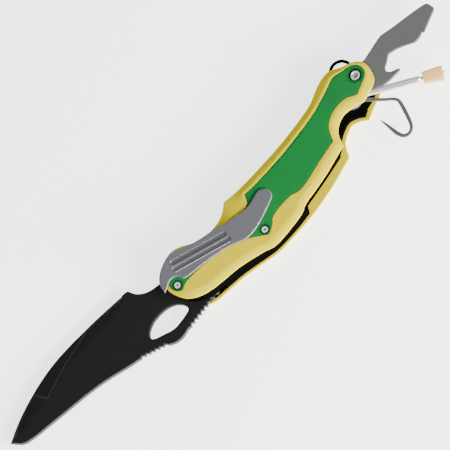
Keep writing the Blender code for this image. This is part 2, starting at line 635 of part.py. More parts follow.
def make_spike():
    """A flat round tang with a round bar out of it, stepped down to a thin tip."""
    root = TOOL_TANG_RADIUS - 1.5
    tang = circle(TOOL_STUD, TOOL_TANG_RADIUS)
    spike = meshed(plate("marlinspike", [tang], SPIKE, "satin_steel", TOOL_STUD))
    bar = turned("spike_bar", (0.0, 0.0), [
        (0.0, SPIKE_LENGTH), (0.25, SPIKE_LENGTH), (SPIKE_TIP_RADIUS, SPIKE_LENGTH - 1.0),
        (SPIKE_TIP_RADIUS, SPIKE_SHOULDER + SPIKE_CONE), (SPIKE_BAR_RADIUS, SPIKE_SHOULDER),
        (SPIKE_BAR_RADIUS, root), (0.0, root),
    ], None, CUTTERS, 20)
    lay_along_spike(bar)
    join(spike, bar)
    head_radius, head_thick = STUD_HEAD
    cut_plate(spike, circle(TOOL_STUD, STUD_RADIUS + GAP), (SPIKE[0] - BEYOND, SPIKE[1] + BEYOND))
    cut_plate(spike, circle(TOOL_STUD, head_radius + GAP), (SPIKE[1] - head_thick - GAP, SPIKE[1] + BEYOND))


def make_cork():
    """The cork guard: a flattened taper, bored for the spike's thin tip."""
    middle = (SPIKE[0] + SPIKE[1]) / 2
    along = Vector((math.cos(SPIKE_ANGLE), math.sin(SPIKE_ANGLE)))
    across = Vector((-along.y, along.x))
    start = Vector(TOOL_STUD) + along * CORK_START
    ends = ((0.0, CORK_NEAR_WIDTH), (CORK_LENGTH, CORK_FAR_WIDTH))
    rings = []
    for distance, width in ends:
        points = []
        for i in range(CORK_SIDES):
            angle = math.tau * i / CORK_SIDES
            sideways = math.copysign(abs(math.cos(angle)) ** CORK_SQUARENESS, math.cos(angle)) * width / 2
            upward = math.copysign(abs(math.sin(angle)) ** CORK_SQUARENESS, math.sin(angle)) * CORK_THICK / 2
            place = start + along * distance + across * sideways
            points.append((place.x, place.y, middle + upward))
        rings.append(points)
    cork = loft("spike_cork", rings, "cork")
    radius = SPIKE_TIP_RADIUS + GAP
    far, near = CORK_START + CORK_LENGTH + BEYOND, CORK_START - BEYOND
    bore = turned("cork_bore", (0.0, 0.0), [(0.0, far), (radius, far), (radius, near), (0.0, near)], None,
                  CUTTERS, 16)
    lay_along_spike(bore)
    cut(cork, bore)


def make_springs():
    for name, layer in (("hook_spring", HOOK), ("spike_spring", SPIKE)):
        plate(name, [spline(SPRING_RIM), circle(SPRING_PIN, PIN_RADIUS + GAP, 20)], layer, "dark_steel")
    bolt("spring_pin", SPRING_PIN, [], (PIN_RADIUS, CENTRE_LINER[0], FRONT_LINER[1]), "bright_steel")


def make_clip():
    clip = meshed(plate("pocket_clip", [spline(CLIP_RIM)], CLIP, "satin_steel"))
    for start, end in CLIP_GROOVES:
        first, last = Vector(start), Vector(end)
        across = Vector((first.y - last.y, last.x - first.x)).normalized() * CLIP_GROOVE_WIDTH / 2
        corners = (first + across, last + across, last - across, first - across)
        cut_plate(clip, [(c.x, c.y) for c in corners], (CLIP[1] - CLIP_GROOVE_DEPTH, CLIP[1] + BEYOND))
    for i, centre in enumerate(CLIP_RIVETS, 1):
        bolt(f"clip_rivet_{i}", centre, [], (RIVET_RADIUS, FRONT_SCALE[0] + 0.2, FRONT_SCALE[1]),
             "bright_steel")


def make_screws():
    """The short screws that hold each scale to its liner."""
    for place, centre in (("lower", LOWER_SCREW), ("mid", MID_SCREW)):
        top = FRONT_SCALE[1] - SCREW_SINK
        under = top - SCREW_HEAD_THICK
        front = bolt(f"front_screw_{place}", centre, [(SCREW_HEAD_RADIUS, under, top)],
                     (SCREW_RADIUS, FRONT_LINER[0] - 1.0, under), "bright_steel")
        hexagon_socket(front, centre, SOCKET_SCREW[0], top, SOCKET_SCREW[1])
        low = REAR_SCALE[0] + SCREW_SINK
        over = low + SCREW_HEAD_THICK
        bolt(f"rear_screw_{place}", centre, [(SCREW_HEAD_RADIUS, low, over)],
             (SCREW_RADIUS, over, REAR_LINER[1]), "bright_steel")


def make_lanyard():
    """A wire ring for the lanyard, on a headed pin that stands on the centre liner."""
    middle = (SPIKE[0] + SPIKE[1]) / 2
    reach = RING_RADIUS - 2 * RING_WIRE_RADIUS - LANYARD_PIN_RADIUS - RING_PLAY
    centre = (LANYARD_PIN[0] + reach * math.cos(RING_LEAN), LANYARD_PIN[1] + reach * math.sin(RING_LEAN))
    bpy.ops.mesh.primitive_torus_add(
        major_radius=(RING_RADIUS - RING_WIRE_RADIUS) * MM, minor_radius=RING_WIRE_RADIUS * MM,
        major_segments=28, minor_segments=8)
    torus = bpy.context.object
    for collection in list(torus.users_collection):
        collection.objects.unlink(torus)
    torus.location = (centre[0] * MM, centre[1] * MM, middle * MM)
    finish(torus, "lanyard_ring", "black_steel")
    head_radius, head_thick = LANYARD_HEAD
    head = (head_radius, SPIKE[1] - head_thick, SPIKE[1])
    bolt("lanyard_pin", LANYARD_PIN, [head], (LANYARD_PIN_RADIUS, CENTRE_LINER[0], SPIKE[1] - head_thick),
         "dark_steel")


make_scales()
make_inlays()
bore_scales()
make_liners()
make_spacer()
make_blade()
make_lock()
make_axle()
make_opener()
make_hook()
make_spike()
make_cork()
make_springs()
make_clip()
make_screws()
make_lanyard()
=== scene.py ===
"""Folding rigging knife in its finished looks.

The packed model is loaded as a fixed frame. Each piece that shows is then made again as a fine
surface worked out with numpy, in millimetres, and put into a mesh in metres. The knife lies on its
rear scale with the clip side up, +X runs along the handle to the tools, and the blade folds in
through the +Y side.
"""

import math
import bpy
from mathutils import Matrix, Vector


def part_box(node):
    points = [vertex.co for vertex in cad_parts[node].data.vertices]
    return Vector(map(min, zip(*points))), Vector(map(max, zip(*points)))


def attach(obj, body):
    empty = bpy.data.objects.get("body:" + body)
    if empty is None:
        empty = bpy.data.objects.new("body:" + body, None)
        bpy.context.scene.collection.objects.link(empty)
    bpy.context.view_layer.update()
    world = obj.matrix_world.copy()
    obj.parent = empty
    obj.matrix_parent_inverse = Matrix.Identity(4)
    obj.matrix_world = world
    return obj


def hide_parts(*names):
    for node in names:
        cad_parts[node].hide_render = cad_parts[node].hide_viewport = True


bl_info = {
    "name": "Rigging Knife",
    "version": (1, 0, 0),
    "blender": (4, 5, 0),
    "location": "3D View > Sidebar > Knife",
    "description": "Builds the visible pieces of a folding rigging knife round its fixed frame",
    "category": "Object",
}

import bmesh
import bpy
import numpy as np
from bpy.props import FloatProperty, FloatVectorProperty, IntProperty, PointerProperty
from mathutils import Matrix, Vector
from mathutils.geometry import delaunay_2d_cdt

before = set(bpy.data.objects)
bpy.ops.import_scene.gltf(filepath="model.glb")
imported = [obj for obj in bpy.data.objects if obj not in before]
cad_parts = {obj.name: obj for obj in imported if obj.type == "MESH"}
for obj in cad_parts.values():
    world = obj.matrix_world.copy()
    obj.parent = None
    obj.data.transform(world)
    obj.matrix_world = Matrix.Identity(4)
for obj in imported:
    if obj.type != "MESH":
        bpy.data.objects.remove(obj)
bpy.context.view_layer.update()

MM = 0.001
CORNER = True
OUTLINE_STEPS = 6


def span(node):
    """The low and high Z of a frame node, in millimetres."""
    low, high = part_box(node)
    return low.z / MM, high.z / MM


def middle(node):
    """The centre of a frame node seen from above, in millimetres."""
    low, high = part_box(node)
    return (low.x + high.x) / 2 / MM, (low.y + high.y) / 2 / MM


BLADE = span("main_blade")
OPENER = span("bottle_opener")
HOOK = span("sail_hook")
SPIKE = span("spike_spring")
CLIP = span("pocket_clip")
BLADE_PIVOT = middle("blade_pivot_bolt")
TOOL_AXLE = middle("tool_axle_bolt")
TOOL_STUD = middle("tool_stud")
LOCK_PIN = middle("lock_bar_pin")
SPRING_PIN = middle("spring_pin")
LANYARD_PIN = middle("lanyard_pin")
LOWER_SCREW = middle("front_screw_lower")
MID_SCREW = middle("front_screw_mid")
CLIP_RIVETS = (middle("clip_rivet_1"), middle("clip_rivet_2"))

# sizes in millimetres
BOLT_RADIUS = 2.4
NUT_RADIUS = 3.0
NUT_RECESS_RADIUS = 3.3
AXLE_RADIUS = 1.4
AXLE_HEAD_RADIUS = 1.9
AXLE_RECESS_RADIUS = 2.6
AXLE_NUT_RADIUS = 2.2
STUD_RADIUS = 1.4
STUD_HEAD = (2.3, 0.7)
PIN_RADIUS = 1.0
SCREW_RADIUS = 0.9
SCREW_HEAD_RADIUS = 1.3
SCREW_HEAD_THICK = 1.3
SCREW_RECESS_RADIUS = 1.6
WASHER_RADIUS = 4.2
TANG_RADIUS = 9.6
TOOL_TANG_RADIUS = 4.2
OPENER_TANG_RADIUS = 4.4
RING_RADIUS = 4.75
SPIKE_BAR_RADIUS = 1.35
SPIKE_TIP_RADIUS = 0.6
LANYARD_PIN_RADIUS = 0.8
RIVET_RADIUS = 1.0
GAP = 0.3
INLAY_DEPTH = 0.9

# the rim of the scales, from the lower end round the +Y side to the tool end and into the thumb notch
UPPER_RIM = [
    (-51.8, 4.9), (-50.8, 8.6), (-48.0, 12.0), (-43.6, 14.3), (-40.2, 14.6), (-36.6, 13.2), (-32.9, 10.5),
    (-27.6, 8.2), (-21.5, 7.7), (-17.4, 8.8), (-13.9, 11.0, CORNER), (-8.0, 9.7), (2.0, 8.7), (15.0, 8.0),
    (27.0, 8.2), (34.0, 8.9), (40.0, 10.8), (45.0, 11.6), (48.4, 10.9), (51.4, 8.7), (55.2, 6.7),
    (57.6, 4.2), (58.0, 1.2), (56.9, -2.2), (54.8, -4.6), (50.8, -5.8),
]
FRONT_NOTCH = [
    (46.8, -6.4, CORNER), (43.2, -4.9), (38.6, -3.7), (34.6, -4.5), (31.6, -6.7), (29.3, -10.9, CORNER),
]
REAR_NOTCH = [
    (46.8, -6.9), (43.9, -7.9, CORNER), (41.6, -5.9), (38.3, -4.3), (34.4, -5.2), (31.4, -6.9),
    (28.4, -11.2, CORNER),
]
FRONT_BELLY = [
    (16.0, -12.9), (4.6, -13.7), (1.4, -14.7), (-2.5, -15.2), (-13.9, -15.0), (-19.7, -12.6),
    (-28.7, -9.4), (-37.0, -7.6), (-41.5, -6.5), (-46.0, -4.6), (-50.0, -1.0),
]
REAR_BELLY = [
    (16.0, -13.2), (4.6, -14.1), (-4.0, -13.9), (-14.0, -13.2), (-20.0, -11.6), (-29.0, -8.9),
    (-38.0, -7.2), (-43.0, -6.2), (-47.0, -4.0), (-50.4, -0.6),
]

# the coloured inlay set into each scale's flat face
INLAY_BODY = [
    (-48.9, 9.0), (-45.0, 11.4), (-39.0, 10.6), (-33.0, 7.2), (-27.0, 4.6), (-20.0, 4.4), (-12.0, 2.7),
    (-9.0, 3.3, CORNER), (-7.0, 6.3, CORNER), (-1.6, 5.5), (11.0, 4.7), (24.8, 4.8), (32.8, 5.4), (40.8, 6.9),
    (46.2, 8.2), (50.0, 7.2), (54.2, 5.8), (56.1, 3.4), (55.9, 0.6), (54.1, -1.1), (49.2, -2.7), (46.9, -3.1),
    (43.4, -0.9), (38.5, -0.2), (34.3, -1.0), (30.9, -3.2), (28.2, -7.5, CORNER), (19.0, -8.4), (7.8, -9.6),
    (2.0, -7.8), (-6.2, -7.6), (-9.6, -9.5), (-13.0, -10.7), (-15.4, -8.8), (-19.8, -5.2),
]
FRONT_INLAY_TAIL = [
    (-28.0, -1.0), (-35.3, 1.0), (-43.0, 2.2), (-46.2, 2.2), (-48.8, 1.6), (-50.7, 4.0), (-50.2, 6.8),
]
REAR_INLAY_TAIL = [(-28.0, -3.6), (-36.0, -2.6), (-43.0, -2.0), (-47.8, -0.2), (-50.7, 3.6), (-50.2, 6.8)]

# liners sit inside the rims; the belly is stepped back beside the folded tools
LINER_TOP = [
    (-50.6, 5.0), (-49.6, 8.2), (-47.2, 11.0), (-43.4, 13.1), (-40.2, 13.4), (-37.2, 12.2), (-33.4, 9.5),
    (-27.8, 7.1), (-21.3, 6.6), (-17.0, 7.7), (-14.0, 9.6, CORNER), (-8.0, 8.6), (2.0, 7.6), (15.0, 6.9),
    (27.0, 7.1), (34.2, 7.8), (40.3, 9.7), (45.0, 10.6), (48.2, 10.1), (51.1, 8.1), (54.8, 5.8), (56.4, 3.6),
    (56.8, 1.2), (55.8, -1.6), (54.2, -3.5), (50.6, -4.7),
]
LINER_NOTCH = [
    (46.6, -5.2, CORNER), (43.0, -3.4), (38.8, -2.2), (34.0, -3.0), (30.2, -5.6), (26.4, -8.9, CORNER),
]
LINER_BELLY = [
    (16.0, -10.0), (5.0, -10.8, CORNER), (3.2, -13.2, CORNER), (-4.0, -13.3), (-13.8, -12.6), (-20.0, -11.0),
    (-29.0, -8.3), (-37.5, -6.6), (-42.5, -5.6), (-46.0, -3.6), (-49.2, -0.4),
]

# the block that fills the tool layers in the blade half, leaving the springs' feet free
SPACER_RIM = [
    (-50.4, 5.0), (-49.4, 8.2), (-47.0, 10.9), (-43.2, 12.9), (-40.2, 13.2), (-37.4, 12.0), (-33.6, 9.3),
    (-28.0, 6.9), (-21.3, 6.4), (-17.2, 7.4), (-14.0, 9.3, CORNER), (-8.0, 8.3, CORNER), (-8.0, -2.0, CORNER),
    (-2.0, -7.6), (2.8, -9.8, CORNER), (2.8, -13.4, CORNER), (-4.0, -13.7), (-13.8, -13.2), (-20.0, -11.4),
    (-29.0, -8.6), (-37.5, -6.9), (-42.5, -5.8), (-46.2, -3.8), (-49.2, -0.4),
]

LOCK_BAR_RIM = [
    (-36.8, -4.6, CORNER), (-29.0, -4.8, CORNER), (-25.4, -6.6), (-22.8, -9.0, CORNER), (-17.0, -9.2),
    (-5.0, -8.6), (8.0, -7.8), (22.0, -5.4), (30.0, -2.6), (36.0, -1.2), (43.0, -1.0), (46.6, -2.2, CORNER),
    (46.4, -5.8, CORNER), (43.7, -6.9, CORNER), (41.6, -5.0), (38.3, -3.5), (34.4, -4.3), (31.0, -5.9),
    (26.8, -8.6), (14.0, -9.9), (5.4, -10.6), (3.0, -12.9, CORNER), (-6.0, -13.1), (-14.0, -12.5),
    (-20.0, -11.1), (-29.0, -8.4), (-36.6, -6.9, CORNER),
]

# main blade, open: the cutting edge, the choil, the tang, the two grooved runs and the spine
EDGE_LINE = [
    (-131.0, 19.8, CORNER), (-124.3, 22.2), (-117.9, 23.9), (-111.0, 25.2), (-103.4, 26.1), (-96.3, 26.3),
    (-89.4, 25.9), (-82.2, 25.1), (-76.3, 24.4), (-69.2, 23.3), (-64.0, 22.4),
]
CHOIL = [(-60.5, 21.5, CORNER), (-59.4, 18.2), (-56.6, 15.5), (-52.3, 13.9), (-47.4, 13.3)]
SPINE_BUMP = [(-57.4, -5.7), (-61.0, -6.1), (-64.2, -5.4), (-66.2, -4.1)]
SPINE_LINE = [
    (-77.6, 1.5), (-82.5, 3.1), (-90.2, 6.0), (-98.5, 8.4), (-110.2, 11.0), (-118.4, 12.8), (-122.4, 13.7),
    (-126.6, 15.0), (-128.6, 16.3, CORNER),
]
NEAR_GROOVES = {"start": (-40.8, -6.0), "end": (-56.2, -6.2), "count": 8, "depth": 1.2}
FAR_GROOVES = {"start": (-66.8, -3.6), "end": (-76.9, 1.1), "count": 6, "depth": 1.0}
BLADE_HOLE = [
    (-68.8, 3.3), (-67.2, 4.9), (-64.2, 6.0), (-60.8, 6.2), (-57.0, 5.6), (-53.8, 4.0), (-51.9, 1.4),
    (-51.9, -0.8), (-54.2, -1.5), (-60.4, -1.6), (-64.4, 0.0), (-68.0, 1.8),
]
GRIND_LINE = [
    (-131.6, 19.0), (-121.0, 18.6), (-112.0, 19.2), (-103.0, 20.0), (-94.0, 20.2), (-85.0, 19.6),
    (-76.0, 19.4), (-67.0, 20.0), (-62.0, 21.6),
]
GRIND_OUTSIDE = [
    (-133.0, 21.5), (-122.0, 24.6), (-112.0, 27.0), (-103.0, 28.6), (-94.0, 28.8), (-85.0, 28.0),
    (-76.0, 26.2), (-67.0, 24.2), (-61.6, 22.8),
]

OPENER_RIM = [
    (58.4, 4.5), (61.6, 4.6), (66.2, 5.1), (69.9, 5.3), (74.7, 3.9), (84.4, 1.3), (87.9, 0.2),
    (89.7, -0.9), (90.0, -3.6), (89.3, -4.4, CORNER), (85.1, -5.6), (80.8, -6.9, CORNER),
    (80.1, -6.2, CORNER), (77.9, -6.8), (75.6, -6.4), (72.3, -4.2), (69.0, -2.4), (66.2, -1.7),
    (64.6, -2.4, CORNER), (63.4, -3.0), (61.6, -3.8), (60.9, -5.1), (61.7, -6.5), (64.3, -8.0), (64.4, -8.8),
    (62.5, -8.7), (58.4, -8.1), (54.8, -6.6), (51.4, -4.2),
]

HOOK_PATH = [
    (46.6, -1.4, 3.0), (48.4, -4.0, 1.6), (52.6, -9.6, 1.1), (54.9, -12.4, 1.1), (55.4, -14.6, 1.4),
    (53.6, -19.2, 1.5), (51.2, -23.8, 1.3), (48.8, -25.2, 1.1), (46.6, -24.4, 1.3), (45.7, -22.0, 1.5),
    (45.7, -18.0, 1.2), (45.8, -13.7, 0.3),
]

SPIKE_ANGLE = math.radians(-38.2)
SPIKE_SHOULDER = 26.4
SPIKE_CONE = 1.0
SPIKE_LENGTH = 36.4
CORK_START = 27.8
CORK_LENGTH = 7.6
CORK_NEAR_WIDTH = 4.4
CORK_FAR_WIDTH = 5.6
CORK_THICK = 3.1

SPRING_RIM = [
    (-6.4, 4.4), (-4.8, 7.0), (0.0, 7.5), (15.0, 6.7), (27.0, 6.9), (36.0, 7.5), (42.5, 7.4), (44.6, 6.6),
    (44.8, 4.95, CORNER), (36.0, 5.0), (27.0, 4.6), (15.0, 4.4), (4.0, 3.4), (0.2, 1.6), (-3.6, 0.9),
    (-6.0, 2.0),
]

CLIP_RIM = [
    (-53.4, 5.8, CORNER), (-52.0, 9.6), (-49.4, 11.8), (-45.3, 13.4), (-41.6, 13.8), (-38.4, 12.6),
    (-34.2, 10.2), (-28.5, 7.9), (-23.7, 6.5), (-20.2, 4.7), (-14.8, 3.1), (-10.8, 2.0), (-7.4, 2.1),
    (-4.2, 2.6), (-2.2, 2.3), (-0.5, 0.6), (-0.4, -1.3), (-1.6, -2.8), (-4.6, -3.8), (-10.2, -5.1),
    (-15.4, -5.8), (-19.8, -5.2), (-25.0, -2.4), (-31.3, -0.1), (-36.6, 1.4), (-41.8, 2.6), (-44.8, 3.6),
    (-45.4, 5.4), (-46.6, 6.9), (-48.9, 7.3), (-51.2, 6.5),
]
CLIP_GROOVES = (((-43.0, 10.8), (-23.2, 2.4)), ((-44.4, 8.6), (-23.6, -0.2)))

# the shallow facet ground beside the point
FACET_LINE = [(-82.8, 24.0), (-94.9, 22.6), (-109.7, 19.5), (-111.6, 24.3)]
FACET_OUTSIDE = [(-111.8, 27.5), (-95.0, 28.5), (-82.0, 27.0)]

# the camera: its own axes, the point it looks at in millimetres, and its reach in metres
CAMERA_RIGHT = (0.6295, -0.7526, -0.205)
CAMERA_BACK = (-0.072, -0.319, 0.946)
CAMERA_AIM = (-20.24, 4.61, 17.27)
CAMERA_REACH = 3.65
CAMERA_LENS = 800.0

# the blade: half its thickness above the bevel, the hollow of its grind, the facet's step, the spine's edge
BEVEL_HALF = 0.42
GRIND_HOLLOW = 1.25
FACET_STEP = 0.35
SPINE_CHAMFER = (0.18, 0.15)
TANG_CHAMFER = (0.15, 0.15)

# the clip: the soft wall of its grooves, half the ridge's width, and where and how far its end falls
GROOVE_WALL = 0.32
RIDGE_HALF = 0.13
END_START = -49.6
END_DROP = 0.55

# the small fall of a scale's face towards the inlay, and where a rounded edge has its rows of points
LIP_DROP = 0.06
ROUND_SHARES = (0.12, 0.35, 0.65, 1.0)

# the stage, in metres: the floor, and each light's place and size
FLOOR_REACH = 3.0
FLOOR_HEIGHT = -0.0001
KEY_LIGHT = ((0.10, -0.62, 0.42), 0.45)
FILL_LIGHT = ((-0.25, 0.1, 0.8), 0.9)

# ---------------------------------------------------------------- lines and fields in the plane

def outline(points, steps=OUTLINE_STEPS):
    """A closed line through points. Between neighbours it is the cubic
    (1-t)^3 P0 + 3(1-t)^2 t P1 + 3(1-t) t^2 P2 + t^3 P3; P1 and P2 stand a sixth of the chord between the
    neighbours on each side away, or a third of the way along at a sharp corner."""
    place = np.array([p[:2] for p in points], float)
    sharp = np.array([len(p) > 2 for p in points])[:, None]
    ahead = np.roll(place, -1, 0)
    slope = (ahead - np.roll(place, 1, 0)) / 6
    leave = np.where(sharp, (ahead - place) / 3, slope)
    arrive = np.where(np.roll(sharp, -1, 0), (ahead - place) / 3, np.roll(slope, -1, 0))
    t = (np.arange(steps) / steps)[None, :, None]
    p0, p1, p2, p3 = (p[:, None] for p in (place, place + leave, ahead - arrive, ahead))
    curve = (1 - t) ** 3 * p0 + 3 * (1 - t) ** 2 * t * p1 + 3 * (1 - t) * t ** 2 * p2 + t ** 3 * p3
    return curve.reshape(-1, 2)


def circle(centre, radius, count=40):
    """centre + radius (cos a, sin a), for a from 0 to a full turn."""
    a = np.arange(count) * math.tau / count
    return np.array(centre) + radius * np.stack([np.cos(a), np.sin(a)], 1)


def arc(centre, radius, first, last, count):
    """centre + radius (cos a, sin a), for a between two angles in degrees."""
    a = np.radians(np.linspace(first, last, count))
    return (np.array(centre) + radius * np.stack([np.cos(a), np.sin(a)], 1)).tolist()


def grooves(start, end, count, depth):
    """A zigzag: tip k at start + k step, and its root 0.6 of a step on, pushed in by depth."""
    start, end = np.array(start), np.array(end)
    step = (end - start) / count
    inward = np.array([step[1], -step[0]]) / np.linalg.norm(step) * depth
    tips = start + np.arange(count)[:, None] * step
    both = np.stack([tips, tips + step * 0.6 + inward], 1).reshape(-1, 2)
    return [(x, y, CORNER) for x, y in np.vstack([both, end]).tolist()]


def along_line(points, pitch):
    """Points A + t (B - A) on each straight stretch A to B, t running in even steps no longer than pitch."""
    stretches = []
    for start, end in zip(points[:-1], points[1:]):
        count = math.ceil(math.dist(start, end) / pitch)
        t = np.arange(count + 1)[:, None] / count
        stretches.append(np.array(start) + t * (np.array(end) - np.array(start)))
    return np.vstack(stretches)


def thicken(path):
    """Both sides of a strip: each path point moved half its width along the normal of the path."""
    path = np.array(path, float)
    along = np.gradient(path[:, :2], axis=0)
    across = np.stack([-along[:, 1], along[:, 0]], 1) / np.linalg.norm(along, axis=1)[:, None]
    left = path[:, :2] + across * path[:, 2:] / 2
    right = path[:, :2] - across * path[:, 2:] / 2
    return np.vstack([left, right[::-1]]).tolist()


def distance(points, line, closed=True):
    """Least distance from each point to a line: |P - A - t (B - A)| over its stretches A to B, with
    t = (P - A).(B - A) / |B - A|^2 kept between 0 and 1."""
    line = np.asarray(line, float)[:, :2]
    start, end = (line, np.roll(line, -1, 0)) if closed else (line[:-1], line[1:])
    along = end - start
    size = np.maximum((along ** 2).sum(1), 1e-12)
    parts = []
    for block in np.array_split(points, len(points) // 2000 + 1):
        gap = block[:, None] - start
        t = np.clip((gap * along).sum(2) / size, 0, 1)[..., None]
        parts.append(np.sqrt(((gap - t * along) ** 2).sum(2)).min(1))
    return np.concatenate(parts)


def inside(points, loop):
    """Whether a ray towards +X from each point crosses the closed loop an odd number of times."""
    x, y = points[:, :1], points[:, 1:2]
    (x1, y1), (x2, y2) = loop.T, np.roll(loop, -1, 0).T
    rise = np.where(y2 == y1, 1e-12, y2 - y1)
    cross = ((y1 > y) != (y2 > y)) & (x < x1 + (y - y1) * (x2 - x1) / rise)
    return cross.sum(1) % 2 == 1


def beside(loop, width, within=True):
    """Points at a width from the loop, on its inner or outer side: each of its points moved by
    width (n1 + n2) / (1 + n1.n2), n1 and n2 being the normals of its two stretches."""
    before = loop - np.roll(loop, 1, 0)
    after = np.roll(loop, -1, 0) - loop
    area = (loop[:, 0] * after[:, 1] - loop[:, 1] * after[:, 0]).sum()
    side = (1 if area > 0 else -1) * (1 if within else -1)
    normals = [np.stack([-d[:, 1], d[:, 0]], 1) / np.maximum(np.linalg.norm(d, axis=1), 1e-9)[:, None] * side
               for d in (before, after)]
    share = np.maximum(1 + (normals[0] * normals[1]).sum(1), 0.3)[:, None]
    moved = loop + (normals[0] + normals[1]) * width / share
    keep = (distance(moved, loop) > 0.97 * width) & (inside(moved, loop) == within)
    return moved[keep]


def mesh_points(loop, pitch, margin):
    """A hexagonal grid of points that stand at least margin inside the loop."""
    low, high = loop.min(0), loop.max(0)
    x, y = np.meshgrid(np.arange(low[0], high[0], pitch), np.arange(low[1], high[1], pitch * 0.866))
    x = x + (np.arange(len(x))[:, None] % 2) * pitch / 2
    grid = np.stack([x.ravel(), y.ravel()], 1)
    grid = grid[inside(grid, loop)]
    return grid[distance(grid, loop) > margin]


def smooth(t):
    """t^2 (3 - 2t) with t kept between 0 and 1."""
    t = np.clip(t, 0, 1)
    return t * t * (3 - 2 * t)


def rounded(d, radius):
    """How far a rounded edge falls at distance d: radius - sqrt(radius^2 - (radius - d)^2)."""
    left = np.clip(radius - d, 0, radius)
    return radius - np.sqrt(np.maximum(radius ** 2 - left ** 2, 0))


def sloped(d, *bevels):
    """How far a chamfered edge falls at distance d: each (width, drop) falls evenly over its width."""
    fall = np.zeros(len(d))
    start = 0.0
    for width, drop in bevels:
        fall += drop * np.clip(1 - (d - start) / width, 0, 1)
        start += width
    return fall


# ---------------------------------------------------------------- meshes

def fill_mesh(name, places, faces, smooth_angle=28):
    """A mesh from points in millimetres and lists of faces, each array of faces with its own corner count."""
    corners = np.concatenate([f.ravel() for f in faces]).astype(np.int32)
    counts = np.concatenate([np.full(len(f), f.shape[1]) for f in faces])
    mesh = bpy.data.meshes.new(name)
    mesh.vertices.add(len(places))
    mesh.vertices.foreach_set("co", (places * MM).astype(np.float32).ravel())
    mesh.loops.add(len(corners))
    mesh.loops.foreach_set("vertex_index", corners)
    mesh.polygons.add(len(counts))
    mesh.polygons.foreach_set("loop_start", (np.cumsum(counts) - counts).astype(np.int32))
    mesh.update(calc_edges=True)
    mesh.validate()
    work = bmesh.new()
    work.from_mesh(mesh)
    bmesh.ops.remove_doubles(work, verts=work.verts, dist=0.000002)
    bmesh.ops.dissolve_degenerate(work, edges=work.edges, dist=0.000001)
    bmesh.ops.recalc_face_normals(work, faces=work.faces)
    work.to_mesh(mesh)
    work.free()
    mesh.shade_smooth()
    mesh.set_sharp_from_angle(angle=math.radians(smooth_angle))
    made = bpy.data.objects.new(name, mesh)
    bpy.context.scene.collection.objects.link(made)
    return made


def solid(name, rim, top, bottom, holes=(), more=(), points=(), level=None, region=None, flip=None,
          smooth_angle=28):
    """A closed plate in the region inside rim (and inside none of the holes), cut into Delaunay triangles.

    Its upper face is z = top(xy, level) and its lower face z = bottom(xy), with an upright face along
    each edge where the triangles end or change level. more are further loops kept as edges, points are
    loose points. region(xy) replaces the test for being inside rim. flip mirrors it in the plane z = flip."""
    loops = [rim, *holes, *more]
    spots = np.vstack([*loops, *[p for p in points if len(p)]])
    edges, first = [], 0
    for loop in loops:
        index = np.arange(len(loop)) + first
        edges += np.stack([index, np.roll(index, -1)], 1).tolist()
        first += len(loop)
    result = delaunay_2d_cdt([Vector(p) for p in spots.tolist()], edges, [], 1, 1e-5)
    xy = np.array([tuple(p) for p in result[0]])
    tri = np.array(result[2])
    a, b, c = (xy[tri[:, k]] for k in range(3))
    area = (b[:, 0] - a[:, 0]) * (c[:, 1] - a[:, 1]) - (b[:, 1] - a[:, 1]) * (c[:, 0] - a[:, 0])
    tri[area < 0] = tri[area < 0][:, ::-1]
    centre = (a + b + c) / 3
    keep = np.abs(area) > 1e-7
    keep &= region(centre) if region else inside(centre, rim)
    for hole in holes:
        keep &= ~inside(centre, hole)
    tri = tri[keep]
    step = level(centre)[keep] if level else np.zeros(len(tri), int)

    count = len(xy)
    key = tri + step[:, None] * count
    upper, index = np.unique(key, return_inverse=True)
    index = index.reshape(-1, 3)
    lower, under = np.unique(tri, return_inverse=True)
    under = under.reshape(-1, 3) + len(upper)
    plan = np.vstack([xy[upper % count], xy[lower]])
    z = np.concatenate([top(xy[upper % count], upper // count), bottom(xy[lower])])
    start, end = tri.ravel(), np.roll(tri, -1, 1).ravel()
    up_start, up_end = index.ravel(), np.roll(index, -1, 1).ravel()
    low_start, low_end = under.ravel(), np.roll(under, -1, 1).ravel()
    forward = start * count + end
    backward = end * count + start
    order = np.argsort(forward)
    at = np.clip(np.searchsorted(forward[order], backward), 0, len(order) - 1)
    twin = order[at]
    paired = forward[twin] == backward
    wall = ~paired
    sides = np.stack([up_end[wall], up_start[wall], low_start[wall], low_end[wall]], 1)
    levels = np.repeat(step, 3)
    stepped = paired & (levels > levels[twin])
    other = twin[stepped]
    steps = np.stack([up_end[stepped], up_start[stepped], up_end[other], up_start[other]], 1)
    faces = [index, under[:, ::-1], sides]
    if len(steps):
        faces.append(steps)
    places = np.column_stack([plan, z])
    if flip is not None:
        places[:, 2] = 2 * flip - places[:, 2]
        faces = [f[:, ::-1] for f in faces]
    made = fill_mesh(name, places, faces, smooth_angle)
    keep_field(made, "rim", lambda flat: distance(flat, rim))
    return made


def keep_field(made, name, field):
    """Keep field(xy) on each vertex, under a name that the materials read; xy is in millimetres."""
    mesh = made.data
    place = np.empty(len(mesh.vertices) * 3, np.float32)
    mesh.vertices.foreach_get("co", place)
    layer = mesh.attributes.get(name) or mesh.attributes.new(name, "FLOAT", "POINT")
    layer.data.foreach_set("value", field(place.reshape(-1, 3)[:, :2] / MM).astype(np.float32))


def skin(name, grid, smooth_angle=28, wrap=False):
    """A surface over a grid of points (rows, columns, 3) whose columns close round, and its rows too
    where wrap is set; rows that meet in one point are merged there."""
    rows, columns = grid.shape[:2]
    index = np.arange(rows * columns).reshape(rows, columns)
    if wrap:
        index = np.vstack([index, index[:1]])
    a, b = index[:-1], index[1:]
    quads = np.stack([a, np.roll(a, -1, 1), np.roll(b, -1, 1), b], -1).reshape(-1, 4)
    return fill_mesh(name, grid.reshape(-1, 3), [quads], smooth_angle)


